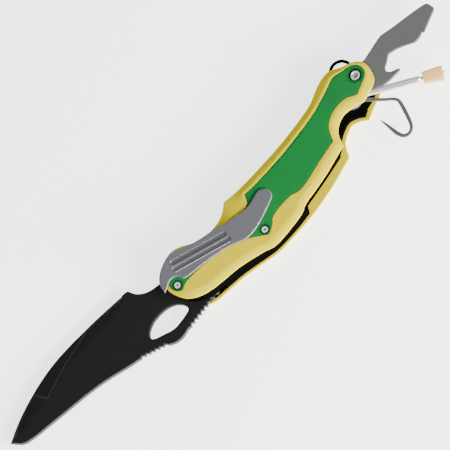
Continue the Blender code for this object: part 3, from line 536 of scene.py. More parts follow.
def turned(name, origin, profile, steps=48, axes=None, smooth_angle=28):
    """A round piece. Each (radius, height, sides) of the profile is carried round the axis:
    origin + r(a) (X cos a + Y sin a) + height Z. r(a) is radius, or with six sides
    radius / cos(((a + 30) mod 60) - 30), which is a hexagon radius across its half."""
    a = np.arange(steps) * math.tau / steps
    profile = np.array([(*p, 0) if len(p) == 2 else p for p in profile], float)
    six = 1 / np.cos((a + math.pi / 6) % (math.pi / 3) - math.pi / 6)
    r = profile[:, :1] * np.where(profile[:, 2:] > 0, six, 1.0)
    x, y, z = np.eye(3) if axes is None else axes
    grid = (np.array(origin, float) + (r * np.cos(a))[..., None] * x + (r * np.sin(a))[..., None] * y
            + profile[:, 1][:, None, None] * z)
    return skin(name, grid, smooth_angle)


def joined(made, other):
    """The two closed pieces as one shell, by an exact union that is applied."""
    change = made.modifiers.new("join", "BOOLEAN")
    change.operation = "UNION"
    change.solver = "EXACT"
    change.object = other
    bpy.context.view_layer.update()
    seen = made.evaluated_get(bpy.context.evaluated_depsgraph_get())
    mesh = bpy.data.meshes.new_from_object(seen)
    made.modifiers.clear()
    made.data = mesh
    bpy.data.objects.remove(other)
    mesh.shade_smooth()
    mesh.set_sharp_from_angle(angle=math.radians(28))
    return made


def place(made, body, slot, material, *nodes):
    """Ride a piece on its body, let it stand for its frame nodes, and give it its finish."""
    made.data.materials.clear()
    made.data.materials.append(material)
    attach(made, body)
    if nodes:
        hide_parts(*nodes)
    return made

# ---------------------------------------------------------------- node groups and finishes

def feed(tree, node, given):
    """Set each input socket of a node, or link it where the value is another node's socket."""
    for key, value in given.items():
        if isinstance(value, bpy.types.NodeSocket):
            tree.links.new(value, node.inputs[key])
        else:
            node.inputs[key].default_value = value
    return node


def add(tree, kind, given=None, **fields):
    """A new shader node with its own fields set and its inputs fed."""
    node = tree.nodes.new("ShaderNode" + kind)
    for label, value in fields.items():
        setattr(node, label, value)
    return feed(tree, node, given or {})


def maths(tree, operation, first, second, clamp=False):
    """The output of a Math node fed by sockets or numbers."""
    return add(tree, "Math", {0: first, 1: second}, operation=operation, use_clamp=clamp).outputs[0]


def blend(tree, first, second, share):
    """first (1 - share) + second share."""
    first, second = maths(tree, "MULTIPLY", first, 1 - share), maths(tree, "MULTIPLY", second, share)
    return maths(tree, "ADD", first, second)


def mix_colour(tree, factor, first, second):
    """Two colours or colour sockets mixed by a factor socket."""
    first, second = (c if isinstance(c, bpy.types.NodeSocket) else (*c, 1.0) for c in (first, second))
    return add(tree, "Mix", {0: factor, 6: first, 7: second}, data_type="RGBA").outputs[2]


def noise(tree, vector, size, detail, roughness=0.5, spread=None):
    """Noise of the place over a size; a spread about one half is stretched to run from 0 to 1."""
    found = add(tree, "TexNoise", {"Vector": vector, "Scale": maths(tree, "DIVIDE", 1.0, size),
                                   "Detail": detail, "Roughness": roughness}).outputs[0]
    if spread is None:
        return found
    ends = {"From Min": 0.5 - spread, "From Max": 0.5 + spread}
    return add(tree, "MapRange", {"Value": found, **ends}).outputs[0]


def new_group(name, numbers, outputs):
    """An empty node group that takes a Vector and the named numbers, and gives the named masks."""
    group = bpy.data.node_groups.new(name, "ShaderNodeTree")
    group.interface.new_socket("Vector", in_out="INPUT", socket_type="NodeSocketVector")
    for label, value in numbers.items():
        group.interface.new_socket(label, in_out="INPUT", socket_type="NodeSocketFloat").default_value = value
    for label in outputs:
        group.interface.new_socket(label, in_out="OUTPUT", socket_type="NodeSocketFloat")
    return group, group.nodes.new("NodeGroupInput").outputs, group.nodes.new("NodeGroupOutput")


def speck_group():
    """Fine grain and broad cloud: two noises of the place in millimetres, as masks and a height."""
    group, given, out = new_group("Speck and cloud", {"Speck size": 0.3, "Cloud size": 8.0},
                                  ("Speck", "Cloud", "Height"))
    speck = noise(group, given["Vector"], given["Speck size"], 3.0, 0.6, 0.18)
    cloud = noise(group, given["Vector"], given["Cloud size"], 4.0, 0.6, 0.18)
    feed(group, out, {"Speck": speck, "Cloud": cloud, "Height": blend(group, speck, cloud, 0.2)})
    return group


def brush_group():
    """Brushed lines: noise of the place turned by an angle and squeezed across the lines."""
    group, given, out = new_group("Brushed lines", {"Turn": 0.0, "Line width": 0.12, "Line length": 6.0},
                                  ("Line",))
    turn = add(group, "VectorRotate", {"Vector": given["Vector"], "Angle": given["Turn"]},
               rotation_type="Z_AXIS")
    size = add(group, "CombineXYZ", {0: given["Line length"], 1: given["Line width"], 2: given["Line width"]})
    squeeze = add(group, "VectorMath", {0: turn.outputs[0], 1: size.outputs[0]}, operation="DIVIDE")
    feed(group, out, {"Line": noise(group, squeeze.outputs[0], 1.0, 2.0, 0.5, 0.2)})
    return group


def wear_group():
    """Mask for worn edges, and for painted highlight and painted shade along edges: 1 at the rim, 0 at a
    width from it, broken up by a noise of the place.
    """
    group, given, out = new_group("Worn edge and painted light", {"Rim": 9.0, "Width": 0.5, "Break": 0.5, "Patch size": 2.0},
                                  ("Wear and light",))
    patches = noise(group, given["Vector"], given["Patch size"], 3.0)
    near = maths(group, "SUBTRACT", 1.0, maths(group, "DIVIDE", given["Rim"], given["Width"]), True)
    shift = maths(group, "MULTIPLY", maths(group, "SUBTRACT", patches, 0.5),
                  maths(group, "MULTIPLY", given["Break"], 2.0))
    feed(group, out, {"Wear and light": maths(group, "MULTIPLY", near, maths(group, "ADD", 1.0, shift, True), True)})
    return group


GROUPS = {}
FINISHES = {}


def finish(name, colour, other, rough, rough_spread, metal=0.0, speck=0.3, cloud=8.0, depth=0.01,
           cloud_share=0.5, brush=None, wear=None, edge=None, painted_light=None, gleam=0.5):
    """A material. Colour runs from colour to other by cloud and speck; roughness is rough plus or minus
    rough_spread by speck or line; the bump is depth millimetres deep. brush is (turn, width, length,
    share). The worn-edge tuple (colour, width, break, share) and edge (colour, width, share) work in from
    the rim: the first is a worn colour that on the scales, the blade and the clip also paints highlights
    along lips, edges and the clip's ridge, and the second paints shade along edges. The painted-light
    colour is painted where the piece's own painted-light field is 1: painted shade in wells, grooves and
    sockets, and a painted highlight along the blade's facet line; gleam is the shader's specular level."""
    if name in FINISHES:
        return FINISHES[name]
    made = FINISHES[name] = bpy.data.materials.new(name)
    made.use_nodes = True
    tree = made.node_tree
    vector = add(tree, "Mapping", {"Vector": add(tree, "TexCoord").outputs["Object"],
                                   "Scale": (1 / MM,) * 3}).outputs[0]

    def group(kind, **values):
        given = {label.replace("_", " "): value for label, value in values.items()}
        return add(tree, "Group", {"Vector": vector, **given}, node_tree=GROUPS[kind]).outputs

    def field(label):
        return add(tree, "Attribute", attribute_name=label).outputs["Fac"]

    grain = group("speck", Speck_size=speck, Cloud_size=cloud)
    mask = blend(tree, grain["Speck"], grain["Cloud"], cloud_share)
    height, change = grain["Height"], grain["Speck"]
    if brush:
        turn, width, reach, share = brush
        change = group("brush", Turn=turn, Line_width=width, Line_length=reach)["Line"]
        mask, height = blend(tree, mask, change, share), blend(tree, height, change, share)
    paint = mix_colour(tree, mask, colour, other)
    roughness = maths(tree, "ADD", rough - rough_spread, maths(tree, "MULTIPLY", change, 2 * rough_spread))
    # a darker colour in from the rim: painted shade along the edges of the inlays and the tools
    if edge:
        hue, width, share = edge
        near = group("wear", Rim=field("rim"), Width=width, Break=0.0)["Wear and light"]
        paint = mix_colour(tree, maths(tree, "MULTIPLY", near, share), paint, hue)
    # a worn colour in from the rim, which on the scales, the blade and the clip also paints highlights along
    # lips, edges and the clip's ridge
    if wear:
        hue, width, broken, share = wear
        wear_and_light_mask = group("wear", Rim=field("rim"), Width=width, Break=broken, Patch_size=1.5)["Wear and light"]
        amount = maths(tree, "MULTIPLY", wear_and_light_mask, share)
        paint = mix_colour(tree, amount, paint, hue)
        roughness = maths(tree, "SUBTRACT", roughness, maths(tree, "MULTIPLY", amount, 0.12), True)
    # painted shade in wells, grooves and sockets, and a painted highlight along the blade's facet line, where
    # the piece's field is 1
    if painted_light:
        paint = mix_colour(tree, field("painted_light"), paint, painted_light)
    bump = add(tree, "Bump", {"Height": height, "Distance": depth * MM, "Strength": 1.0})
    feed(tree, tree.nodes["Principled BSDF"],
         {"Base Color": paint, "Roughness": roughness, "Metallic": metal, "Specular IOR Level": gleam,
          "Normal": bump.outputs[0]})
    return made


def make_groups():
    """Build each node group once."""
    if not GROUPS:
        GROUPS.update(speck=speck_group(), brush=brush_group(), wear=wear_group())


def darker(colour, share):
    """A colour with each of its parts multiplied by share."""
    return tuple(part * share for part in colour)


def scale_finish(colour):
    """Yellow anodised alloy with a fine blasted grain, worn a little paler along its outer edges; the same
    paler colour paints a highlight along the lip of the inlay's pocket, and the wells round the screws and
    the axle get painted shade.
    """
    return finish("yellow_alloy", colour, darker(colour, 0.9), 0.5, 0.06, 0.0, 0.22, 9.0, 0.012, 0.6,
                  wear=((0.9, 0.66, 0.0), 0.35, 0.5, 0.6), painted_light=(0.003, 0.035, 0.008), gleam=0.0)


def inlay_finish(colour):
    """Moulded green nylon: a fine texture, a soft cloud of colour, painted shade along its edge beside the
    pocket wall, and painted shade round its wells.
    """
    return finish("green_nylon", colour, (colour[0] * 2.2, colour[1] * 0.84, colour[2] * 1.1), 0.55, 0.06,
                  0.0, 0.25, 12.0, 0.02, 0.75, edge=(darker(colour, 0.25), 0.4, 0.95),
                  painted_light=darker(colour, 0.25), gleam=0.15)


def blade_finish(colour):
    """Black coated steel: a near-even matt coat with a faint tumble grain, grey along its edges, partly coat
    rubbed off and partly a painted highlight along the edges and the thumb hole's wall, and a painted
    highlight along the facet line.
    """
    return finish("black_coat", colour, darker(colour, 0.8), 0.55, 0.06, 0.0, 0.16, 6.0, 0.005, 0.4,
                  wear=((0.03,) * 3, 0.3, 0.4, 0.9), painted_light=(0.03,) * 3, gleam=0.1)


def black_finish():
    """Blackened steel of the liners, the block and the ring; its near-black colour with no sheen also paints
    the deep shade in the gap between the scales.
    """
    return finish("black_liner", (0.0015, 0.0015, 0.002), (0.003, 0.003, 0.0035), 0.8, 0.08, 0.0, 0.2, 5.0,
                  0.008, gleam=0.0)


def dark_finish():
    """Dark spring steel with a faint brush."""
    return finish("dark_spring", (0.02, 0.019, 0.014), (0.035, 0.032, 0.022), 0.42, 0.08, 0.7, 0.2, 5.0,
                  0.006, brush=(0.0, 0.1, 5.0, 0.6))


def clip_finish(colour):
    """Satin steel, brushed along the clip, with painted shade in its grooves and a painted highlight along
    its rim and along the ridge beside the lower groove.
    """
    return finish("satin_clip", colour, darker(colour, 0.88), 0.46, 0.06, 0.4, 0.2, 7.0, 0.005,
                  brush=(0.37, 0.09, 7.0, 0.6), wear=((0.5, 0.5, 0.52), 0.2, 0.2, 0.7),
                  painted_light=darker(colour, 0.62))


def tool_finish(colour, turn, name):
    """Ground tool steel, brushed along the tool, with painted shade along its edges."""
    return finish("ground_steel_" + name, colour, darker(colour, 0.88), 0.44, 0.06, 0.4, 0.2, 6.0, 0.005,
                  brush=(turn, 0.1, 6.0, 0.5), edge=(darker(colour, 0.4), 0.4, 0.8), gleam=0.4)


def spike_finish(colour):
    """Polished steel with faint lines along the spike."""
    return finish("polished_spike", colour, darker(colour, 0.9), 0.2, 0.06, 0.75, 0.2, 5.0, 0.003,
                  brush=(-SPIKE_ANGLE, 0.1, 5.0, 0.6))


def bright_finish():
    """Bright turned steel of the screws and bolts, with painted shade in the sockets of the heads."""
    return finish("bright_steel", (0.95,) * 3, (0.8, 0.8, 0.81), 0.3, 0.07, 0.6, 0.15, 2.0, 0.003,
                  brush=(0.0, 0.08, 0.6, 0.4), painted_light=(0.12,) * 3)


def bronze_finish():
    """Bronze of the washers and sleeves."""
    return finish("bronze_bearing", (0.4, 0.24, 0.09), (0.3, 0.17, 0.06), 0.38, 0.08, 0.9, 0.2, 3.0, 0.004)


def cork_finish(colour):
    """Pale cork: soft granules with darker pores."""
    return finish("pale_cork", colour, (colour[0] * 0.86, colour[1] * 0.76, colour[2] * 0.64), 0.82, 0.08,
                  0.0, 0.42, 2.2, 0.06, 0.35, gleam=0.1)
# ---------------------------------------------------------------- settings

def length(name, description, value):
    """A length a user may change, in metres, from its value in millimetres."""
    return FloatProperty(name=name, description=description, default=value * MM, min=0.0, precision=5,
                         unit="LENGTH", subtype="DISTANCE")


def colour(name, description, value):
    """A colour a user may change."""
    return FloatVectorProperty(name=name, description=description, default=value, min=0.0, max=1.0, size=3,
                               subtype="COLOR")


class HandleSettings(bpy.types.PropertyGroup):
    """Sizes and colours of the scales and inlays."""
    outer_width: length("Outer chamfer width", "Width of the outer chamfer of a scale", 1.3)
    outer_drop: length("Outer chamfer drop", "Height of the outer chamfer of a scale", 0.9)
    inner_width: length("Inner chamfer width", "Width of the inner chamfer of a scale", 1.0)
    inner_drop: length("Inner chamfer drop", "Height of the inner chamfer of a scale", 0.35)
    side_drop: length("Upper slope drop", "Height of the wide slope along a scale's upper side", 1.3)
    side_share: FloatProperty(name="Upper slope share", default=0.72, min=0.1, max=0.95,
                              description="Part of the way to the inlay that the slope takes")
    lip: length("Pocket lip", "Width of the small chamfer round the inlay's pocket", 0.35)
    inlay_round: length("Inlay edge", "Radius of the inlay's rounded edge", 0.2)
    yellow: colour("Scale colour", "Colour of the scales", (0.60, 0.48, 0.0))
    green: colour("Inlay colour", "Colour of the inlays", (0.003, 0.145, 0.024))


class BladeSettings(bpy.types.PropertyGroup):
    """Sizes and colour of the main blade."""
    edge_thick: length("Edge thickness", "Thickness left at the cutting edge", 0.16)
    bevel_width: length("Bevel width", "Width of the sharpened bevel along the edge", 0.7)
    facet_depth: length("Facet depth", "Depth of the shallow facet ground into the point's side", 0.1)
    hole_round: length("Hole edge", "Radius of the rounded edge of the thumb hole", 0.7)
    black: colour("Blade colour", "Colour of the blade's coat", (0.009, 0.009, 0.009))


class ClipSettings(bpy.types.PropertyGroup):
    """Sizes and colour of the pocket clip."""
    groove_width: length("Groove width", "Width of each long groove", 1.9)
    groove_depth: length("Groove depth", "Depth of each long groove", 0.32)
    edge_round: length("Edge radius", "Radius of the clip's rounded edge", 0.22)
    satin: colour("Clip colour", "Colour of the clip's satin steel", (0.135, 0.135, 0.148))


class ToolSettings(bpy.types.PropertyGroup):
    """Sizes and colours of the opener, the hook, the spike, its cork and the lanyard ring."""
    edge_break: length("Edge break", "Width of the small chamfer along the tools' edges", 0.22)
    ring_wire: length("Ring wire", "Diameter of the lanyard ring's wire", 1.3)
    round_steps: IntProperty(name="Round steps", description="Faces round each turned piece", default=48,
                             min=12, max=120)
    steel: colour("Tool colour", "Colour of the ground tool steel", (0.115, 0.12, 0.115))
    spike_steel: colour("Spike colour", "Colour of the polished spike", (0.8, 0.8, 0.8))
    cork: colour("Cork colour", "Colour of the cork guard", (0.95, 0.56, 0.22))


class StageSettings(bpy.types.PropertyGroup):
    """Light and floor."""
    key_power: FloatProperty(name="Key light", description="Power of the large soft key light", default=19.0,
                             min=0.0, unit="POWER")
    fill_power: FloatProperty(name="Fill light", description="Power of the overhead fill light", default=1.0,
                              min=0.0, unit="POWER")
    sky: FloatProperty(name="Surround", description="Strength of the even white surround", default=0.35,
                       min=0.0)
    floor: colour("Floor colour", "Colour of the plain floor", (0.93, 0.93, 0.93))
    floor_glow: FloatProperty(name="Floor glow", description="Light that the pale floor gives by itself",
                              default=2.4, min=0.0)


# ---------------------------------------------------------------- pieces

def screw_holes(radius):
    """The two holes for the screws of a scale."""
    return [circle(MID_SCREW, radius, 32), circle(LOWER_SCREW, radius, 32)]


def rivet_holes():
    """The two holes for the rivets of the clip."""
    return [circle(centre, RIVET_RADIUS + GAP, 24) for centre in CLIP_RIVETS]


def build_scale(name, rim_points, tail, low, high, outward, bores, given):
    """One scale, made with its outer face up: z = high less the two chamfers' fall with the distance
    from the rim, a small lip falling towards the pocket, and the pocket's floor as a lower level. Along
    the upper side the fall is drop (1 - s / share) in their place, s being the part of the way from the
    rim to the pocket."""
    rim = outline(rim_points)
    upper = outline(UPPER_RIM)[5 * OUTLINE_STEPS:-OUTLINE_STEPS]
    lower = outline(rim_points[len(UPPER_RIM):])[:-OUTLINE_STEPS]
    pocket = outline(INLAY_BODY + tail)
    outer, inner = given.outer_width / MM, given.inner_width / MM
    bevels = ((outer, given.outer_drop / MM), (inner, given.inner_drop / MM))
    lip = given.lip / MM

    def top(xy, level):
        to_rim, to_pocket = distance(xy, rim), distance(xy, pocket)
        side = smooth(0.5 + (distance(xy, lower, False) - distance(xy, upper, False)) / 5)
        share = to_rim / (to_rim + to_pocket + 1e-9)
        wide = given.side_drop / MM * np.clip(1 - share / given.side_share, 0, 1)
        fall = (1 - side) * sloped(to_rim, *bevels) + side * wide
        fall += LIP_DROP * np.clip(1 - to_pocket / lip, 0, 1)
        return high - np.where(level == 1, INLAY_DEPTH, fall)

    def level(centre):
        return inside(centre, pocket).astype(int)

    rows = [beside(rim, width) for width in (outer, outer + inner, (outer + inner) * 0.3)]
    rows = [row[~inside(row, pocket)] for row in rows]
    rows += [beside(pocket, lip * share, within=False) for share in (1.0, 2.0, 3.0)]
    rows.append(mesh_points(rim, 1.5, 0.4))
    flip = (low + high) / 2 if outward < 0 else None
    made = solid(name, rim, top, lambda xy: np.full(len(xy), low), bores, [pocket], rows, level, flip=flip,
                 smooth_angle=12)
    # the pocket's edge counts as rim too, so the paler worn colour paints a highlight along the pocket's lip
    keep_field(made, "rim", lambda xy: np.minimum(distance(xy, rim), distance(xy, pocket)))
    # painted shade in the wells round the screws and the axle
    keep_field(made, "painted_light", lambda xy: (np.min([distance(xy, bore) for bore in bores], 0) < 0.1) * 1.0)
    return made


class KNIFE_OT_scales(bpy.types.Operator):
    """Make the two yellow scales with their double chamfers and inlay pockets"""
    bl_idname = "knife.scales"
    bl_label = "Scales"

    def execute(self, context):
        given = context.scene.knife_handle
        yellow = scale_finish(given.yellow)
        bores = screw_holes(SCREW_RECESS_RADIUS) + [circle(TOOL_AXLE, AXLE_RECESS_RADIUS)]
        for node, rim, tail, holes, outward in (
                ("front_scale", UPPER_RIM + FRONT_NOTCH + FRONT_BELLY, FRONT_INLAY_TAIL, rivet_holes(), 1),
                ("rear_scale", UPPER_RIM + REAR_NOTCH + REAR_BELLY, REAR_INLAY_TAIL,
                 [circle(BLADE_PIVOT, NUT_RECESS_RADIUS)], -1)):
            place(build_scale(node + "_shell", rim, tail, *span(node), outward, bores + holes, given),
                  "handle", "yellow_scale", yellow, node)
        return {"FINISHED"}


class KNIFE_OT_inlays(bpy.types.Operator):
    """Make the two green inlays with rounded edges and sunk screw holes"""
    bl_idname = "knife.inlays"
    bl_label = "Inlays"

    def execute(self, context):
        given = context.scene.knife_handle
        green = inlay_finish(given.green)
        radius = given.inlay_round / MM
        common = [circle(TOOL_AXLE, AXLE_RECESS_RADIUS - GAP)] + screw_holes(SCREW_RECESS_RADIUS)
        for node, tail, holes, outward in (
                ("front_inlay", FRONT_INLAY_TAIL, common + rivet_holes(), 1),
                ("rear_inlay", REAR_INLAY_TAIL, common + [circle(BLADE_PIVOT, NUT_RECESS_RADIUS)], -1)):
            low, high = span(node)
            around = outline(INLAY_BODY + tail)
            rim = beside(around, 0.04)
            rows = [beside(rim, radius * share) for share in ROUND_SHARES]
            rows += [beside(hole, 0.3, within=False) for hole in holes]
            rows = [row[inside(row, rim)] for row in rows]
            rows.append(mesh_points(rim, 1.5, 0.7))

            def top(xy, _, rim=rim, holes=holes, high=high):
                bores = np.min([distance(xy, hole) for hole in holes[:3]], 0)
                return high - rounded(distance(xy, rim), radius) - sloped(bores, (0.3, 0.12))

            made = solid(node + "_panel", rim, top, lambda xy, low=low: np.full(len(xy), low), holes, [],
                         rows, flip=(low + high) / 2 if outward < 0 else None)
            # painted shade round the inlay's screw and axle wells
            keep_field(made, "painted_light", lambda xy, holes=holes: smooth(
                1.6 - np.min([distance(xy, hole) for hole in holes[:3]], 0) / 0.28))
            place(made, "handle", "green_inlay", green, node)
        return {"FINISHED"}


def flat_plate(name, rim, low, high, holes=(), chamfer=0.08, points=()):
    """A plate between low and high whose rims fall by a chamfer on both faces."""
    def edge(xy):
        near = distance(xy, rim)
        for hole in holes:
            near = np.minimum(near, distance(xy, hole))
        return sloped(near, (chamfer, chamfer))
    rows = [beside(rim, chamfer)] + [beside(hole, chamfer, within=False) for hole in holes] + list(points)
    return solid(name, rim, lambda xy, _: high - edge(xy), lambda xy: low + edge(xy), holes, [], rows)


class KNIFE_OT_inner_plates(bpy.types.Operator):
    """Make the three liners, the spacer block, the lock bar and the two tool springs"""
    bl_idname = "knife.inner_plates"
    bl_label = "Liners, block, lock bar and springs"

    def execute(self, context):
        dark, black = dark_finish(), black_finish()
        axle, bolt, washer = (circle(centre, radius + GAP) for centre, radius in (
            (TOOL_AXLE, AXLE_RADIUS), (BLADE_PIVOT, BOLT_RADIUS), (BLADE_PIVOT, WASHER_RADIUS)))
        lock, spring, lanyard, stud = (circle(centre, radius + GAP, 24) for centre, radius in (
            (LOCK_PIN, PIN_RADIUS), (SPRING_PIN, PIN_RADIUS), (LANYARD_PIN, LANYARD_PIN_RADIUS),
            (TOOL_STUD, STUD_RADIUS)))
        screws = screw_holes(SCREW_RADIUS + GAP)
        liner = LINER_TOP + LINER_NOTCH + LINER_BELLY
        for node, rim, holes, body, slot, material in (
                ("front_liner", liner, [bolt, axle, lock, spring, *screws], "handle", "dark_liner", black),
                ("centre_liner", liner, [washer, axle, lock, spring, lanyard, stud], "handle", "dark_liner",
                 black),
                ("rear_liner", liner, [washer, axle, lock, *screws], "handle", "dark_liner", black),
                ("spacer_block", SPACER_RIM, [bolt, lock, *screws], "handle", "black_block", black),
                ("lock_bar", LOCK_BAR_RIM, [lock], "lock", "black_block", black),
                ("hook_spring", SPRING_RIM, [spring], "handle", "dark_liner", dark),
                ("spike_spring", SPRING_RIM, [spring], "handle", "dark_liner", dark)):
            name = node.replace("_block", "") + "_plate"
            place(flat_plate(name, outline(rim, 4), *span(node), holes), body, slot, material, node)
        return {"FINISHED"}


def blade_rim():
    """The blade's whole outline: edge, choil, tang, the two grooved runs and the spine."""
    tang = arc(BLADE_PIVOT, TANG_RADIUS, 82, -72, 12)
    return outline(EDGE_LINE + CHOIL + tang + grooves(**NEAR_GROOVES) + SPINE_BUMP + grooves(**FAR_GROOVES)
                   + SPINE_LINE)


class KNIFE_OT_blade(bpy.types.Operator):
    """Make the main blade with its grind, sharpened bevel, facet, thumb hole and grooved spine"""
    bl_idname = "knife.blade"
    bl_label = "Main blade"

    def execute(self, context):
        given = context.scene.knife_blade
        low, high = BLADE
        half = (high - low) / 2
        centre = (high + low) / 2
        rim = blade_rim()
        hole = outline(BLADE_HOLE)
        pivot = circle(BLADE_PIVOT, BOLT_RADIUS + GAP)
        edge = outline(EDGE_LINE + CHOIL)[:(len(EDGE_LINE) - 1) * OUTLINE_STEPS + 1]
        grind = np.array(GRIND_LINE)
        grind_zone = np.vstack([grind, np.array(GRIND_OUTSIDE)[::-1]])
        facet = np.array(FACET_LINE)
        facet_zone = np.vstack([facet, FACET_OUTSIDE])
        bevel = given.bevel_width / MM
        least = given.edge_thick / MM / 2

        def thick(xy):
            """Half the thickness: it falls from the grind line to the bevel as t, then to the edge."""
            to_edge, to_line = distance(xy, edge, False), distance(xy, grind, False)
            t = to_line / (to_line + to_edge + 1e-9)
            ground = half - (half - BEVEL_HALF) * t ** GRIND_HOLLOW
            keen = least + (BEVEL_HALF - least) * np.clip(to_edge / bevel, 0, 1)
            ground = np.minimum(ground, np.where(to_edge < bevel, keen, half))
            body = np.where(inside(xy, grind_zone), ground, half)
            near = distance(xy, facet, False)
            cut = np.where(inside(xy, facet_zone), np.clip(near / FACET_STEP, 0, 1), 0.0)
            body = body - cut * given.facet_depth / MM * (to_edge > bevel * 0.5)
            round_hole = rounded(distance(xy, hole), given.hole_round / MM)
            spine = sloped(np.where(inside(xy, grind_zone), np.inf, distance(xy, rim)), SPINE_CHAMFER)
            return np.maximum(body - round_hole - spine, least)

        rows = [beside(rim, width) for width in (SPINE_CHAMFER[0], bevel)]
        rows += [beside(hole, given.hole_round / MM * share, within=False) for share in ROUND_SHARES]
        line = along_line(FACET_LINE, 0.3)
        rows += [line + np.array([shift * 0.4, shift])
                 for shift in (-FACET_STEP, -0.17, 0.001, 0.17, FACET_STEP)]
        rows.append(mesh_points(rim, 1.0, 0.5))
        grind_points = outline(GRIND_LINE, 10)[:80]
        rows.append(grind_points[inside(grind_points, rim)])
        rows = [row[~inside(row, hole) & ~inside(row, pivot)] for row in rows]
        made = solid("main_blade_shell", rim, lambda xy, _: centre + thick(xy), lambda xy: centre - thick(xy),
                     [hole, pivot], [], rows, smooth_angle=14)
        # the thumb hole's wall counts as rim too, so the grey paints a highlight on it
        keep_field(made, "rim", lambda xy: np.minimum(distance(xy, rim), distance(xy, hole)))
        # a painted highlight along the facet line
        keep_field(made, "painted_light",
                   lambda xy: smooth(1.3 - distance(xy, facet, False) / 0.25) * inside(xy, rim))
        place(made, "blade", "black_blade", blade_finish(given.black), "main_blade")
        return {"FINISHED"}


class KNIFE_OT_clip(bpy.types.Operator):
    """Make the pocket clip with its two long grooves, the ridges beside them and its turned-down end"""
    bl_idname = "knife.clip"
    bl_label = "Pocket clip"

    def execute(self, context):
        given = context.scene.knife_clip
        low, high = CLIP
        rim = outline(CLIP_RIM)
        radius = given.edge_round / MM
        half_width = given.groove_width / MM / 2
        lines = [np.array(line, float) for line in CLIP_GROOVES]

        along = lines[1][1] - lines[1][0]
        across = np.array([along[1], -along[0]]) / np.linalg.norm(along)
        ridge = lines[1] + across * (half_width + 0.15)

        def top(xy, _):
            """high less the rounded edge, less each groove, which is its depth times the smooth step of
            (half width - distance) over its soft wall, plus a thin ridge along the lower groove, less
            the fall of the end."""
            z = high - 0.1 - rounded(distance(xy, rim), radius)
            for line in lines:
                z -= given.groove_depth / MM * smooth((half_width - distance(xy, line, False)) / GROOVE_WALL)
            z += 0.1 * smooth(1 - distance(xy, ridge, False) / 0.28)
            return z - END_DROP * smooth((END_START - xy[:, 0]) / 4.0)

        def bottom(xy):
            return np.full(len(xy), low) + 0.04 * smooth(1 - distance(xy, rim) / 0.3)

        rows = [beside(rim, radius * share) for share in (0.12, 0.4, 1.0)]
        for line in lines:
            along = line[1] - line[0]
            turn = math.degrees(math.atan2(along[1], along[0]))
            for width in (half_width + 0.05, half_width - GROOVE_WALL / 2, half_width - GROOVE_WALL):
                loop = arc(line[1], width, turn - 90, turn + 90, 12)
                loop += arc(line[0], width, turn + 90, turn + 270, 12)
                rows.append(along_line(loop + loop[:1], 0.45))
        rows.append(along_line(((lines[0] + lines[1]) / 2).tolist(), 0.45))
        rows += [along_line(ridge.tolist(), 0.4) + across * shift
                 for shift in (-0.26, -RIDGE_HALF, 0.0, RIDGE_HALF, 0.26)]
        rows.append(mesh_points(rim, 0.7, 0.3))
        rows = [row[inside(row, rim)] for row in rows]
        made = solid("pocket_clip_spring", rim, top, bottom, (), [], rows, smooth_angle=35)
        # painted shade in the two grooves
        keep_field(made, "painted_light", lambda xy: np.max(
            [smooth((half_width - distance(xy, line, False)) / 0.3) for line in lines], 0))
        # the ridge counts as rim too, so the paler colour paints a highlight along it and along the clip's
        # rim
        keep_field(made, "rim", lambda xy: np.minimum(distance(xy, rim),
                                                      distance(xy, ridge, False) - RIDGE_HALF))
        place(made, "handle", "satin_steel", clip_finish(given.satin), "pocket_clip")
        return {"FINISHED"}


class KNIFE_OT_opener(bpy.types.Operator):
    """Make the bottle opener and screwdriver blade with its broken edges"""
    bl_idname = "knife.opener"
    bl_label = "Bottle opener"

    def execute(self, context):
        given = context.scene.knife_tools
        rim = outline(OPENER_RIM + arc(TOOL_AXLE, OPENER_TANG_RADIUS, 215, 75, 8))
        low, high = OPENER
        made = flat_plate("bottle_opener_blade", rim, low, high, [circle(TOOL_AXLE, AXLE_RADIUS + GAP)],
                          given.edge_break / MM, points=[mesh_points(rim, 2.0, 0.4)])
        place(made, "opener", "tool_steel", tool_finish(given.steel, 0.12, "opener"), "bottle_opener")
        return {"FINISHED"}


class KNIFE_OT_hook(bpy.types.Operator):
    """Make the thin sail hook and its round tang"""
    bl_idname = "knife.hook"
    bl_label = "Sail hook"

    def execute(self, context):
        given = context.scene.knife_tools
        strip = outline(thicken(HOOK_PATH))
        tang = circle(TOOL_STUD, TOOL_TANG_RADIUS)
        hole = circle(TOOL_STUD, STUD_RADIUS + GAP)
        low, high = HOOK

        def edge(xy):
            """The depth within whichever of the strip and the tang holds the point deeper."""
            deep = np.maximum(np.where(inside(xy, strip), distance(xy, strip), 0),
                              np.where(inside(xy, tang), distance(xy, tang), 0))
            return rounded(deep, given.edge_break / MM)

        rows = [beside(strip, given.edge_break / MM * share) for share in (0.3, 1.0)]
        rows.append(beside(tang, given.edge_break / MM))
        made = solid("sail_hook_strip", strip, lambda xy, _: high - edge(xy), lambda xy: low + edge(xy),
                     [hole], [tang], rows, region=lambda xy: inside(xy, strip) | inside(xy, tang))
        place(made, "hook", "tool_steel", tool_finish(given.steel, 1.05, "hook"), "sail_hook")
        return {"FINISHED"}


def spike_axes():
    """The spike's frame: heights run along it, X across it in the plane of the plates, Y upwards."""
    along = np.array([math.cos(SPIKE_ANGLE), math.sin(SPIKE_ANGLE), 0.0])
    across = np.array([-along[1], along[0], 0.0])
    return across, np.array([0.0, 0.0, 1.0]), along


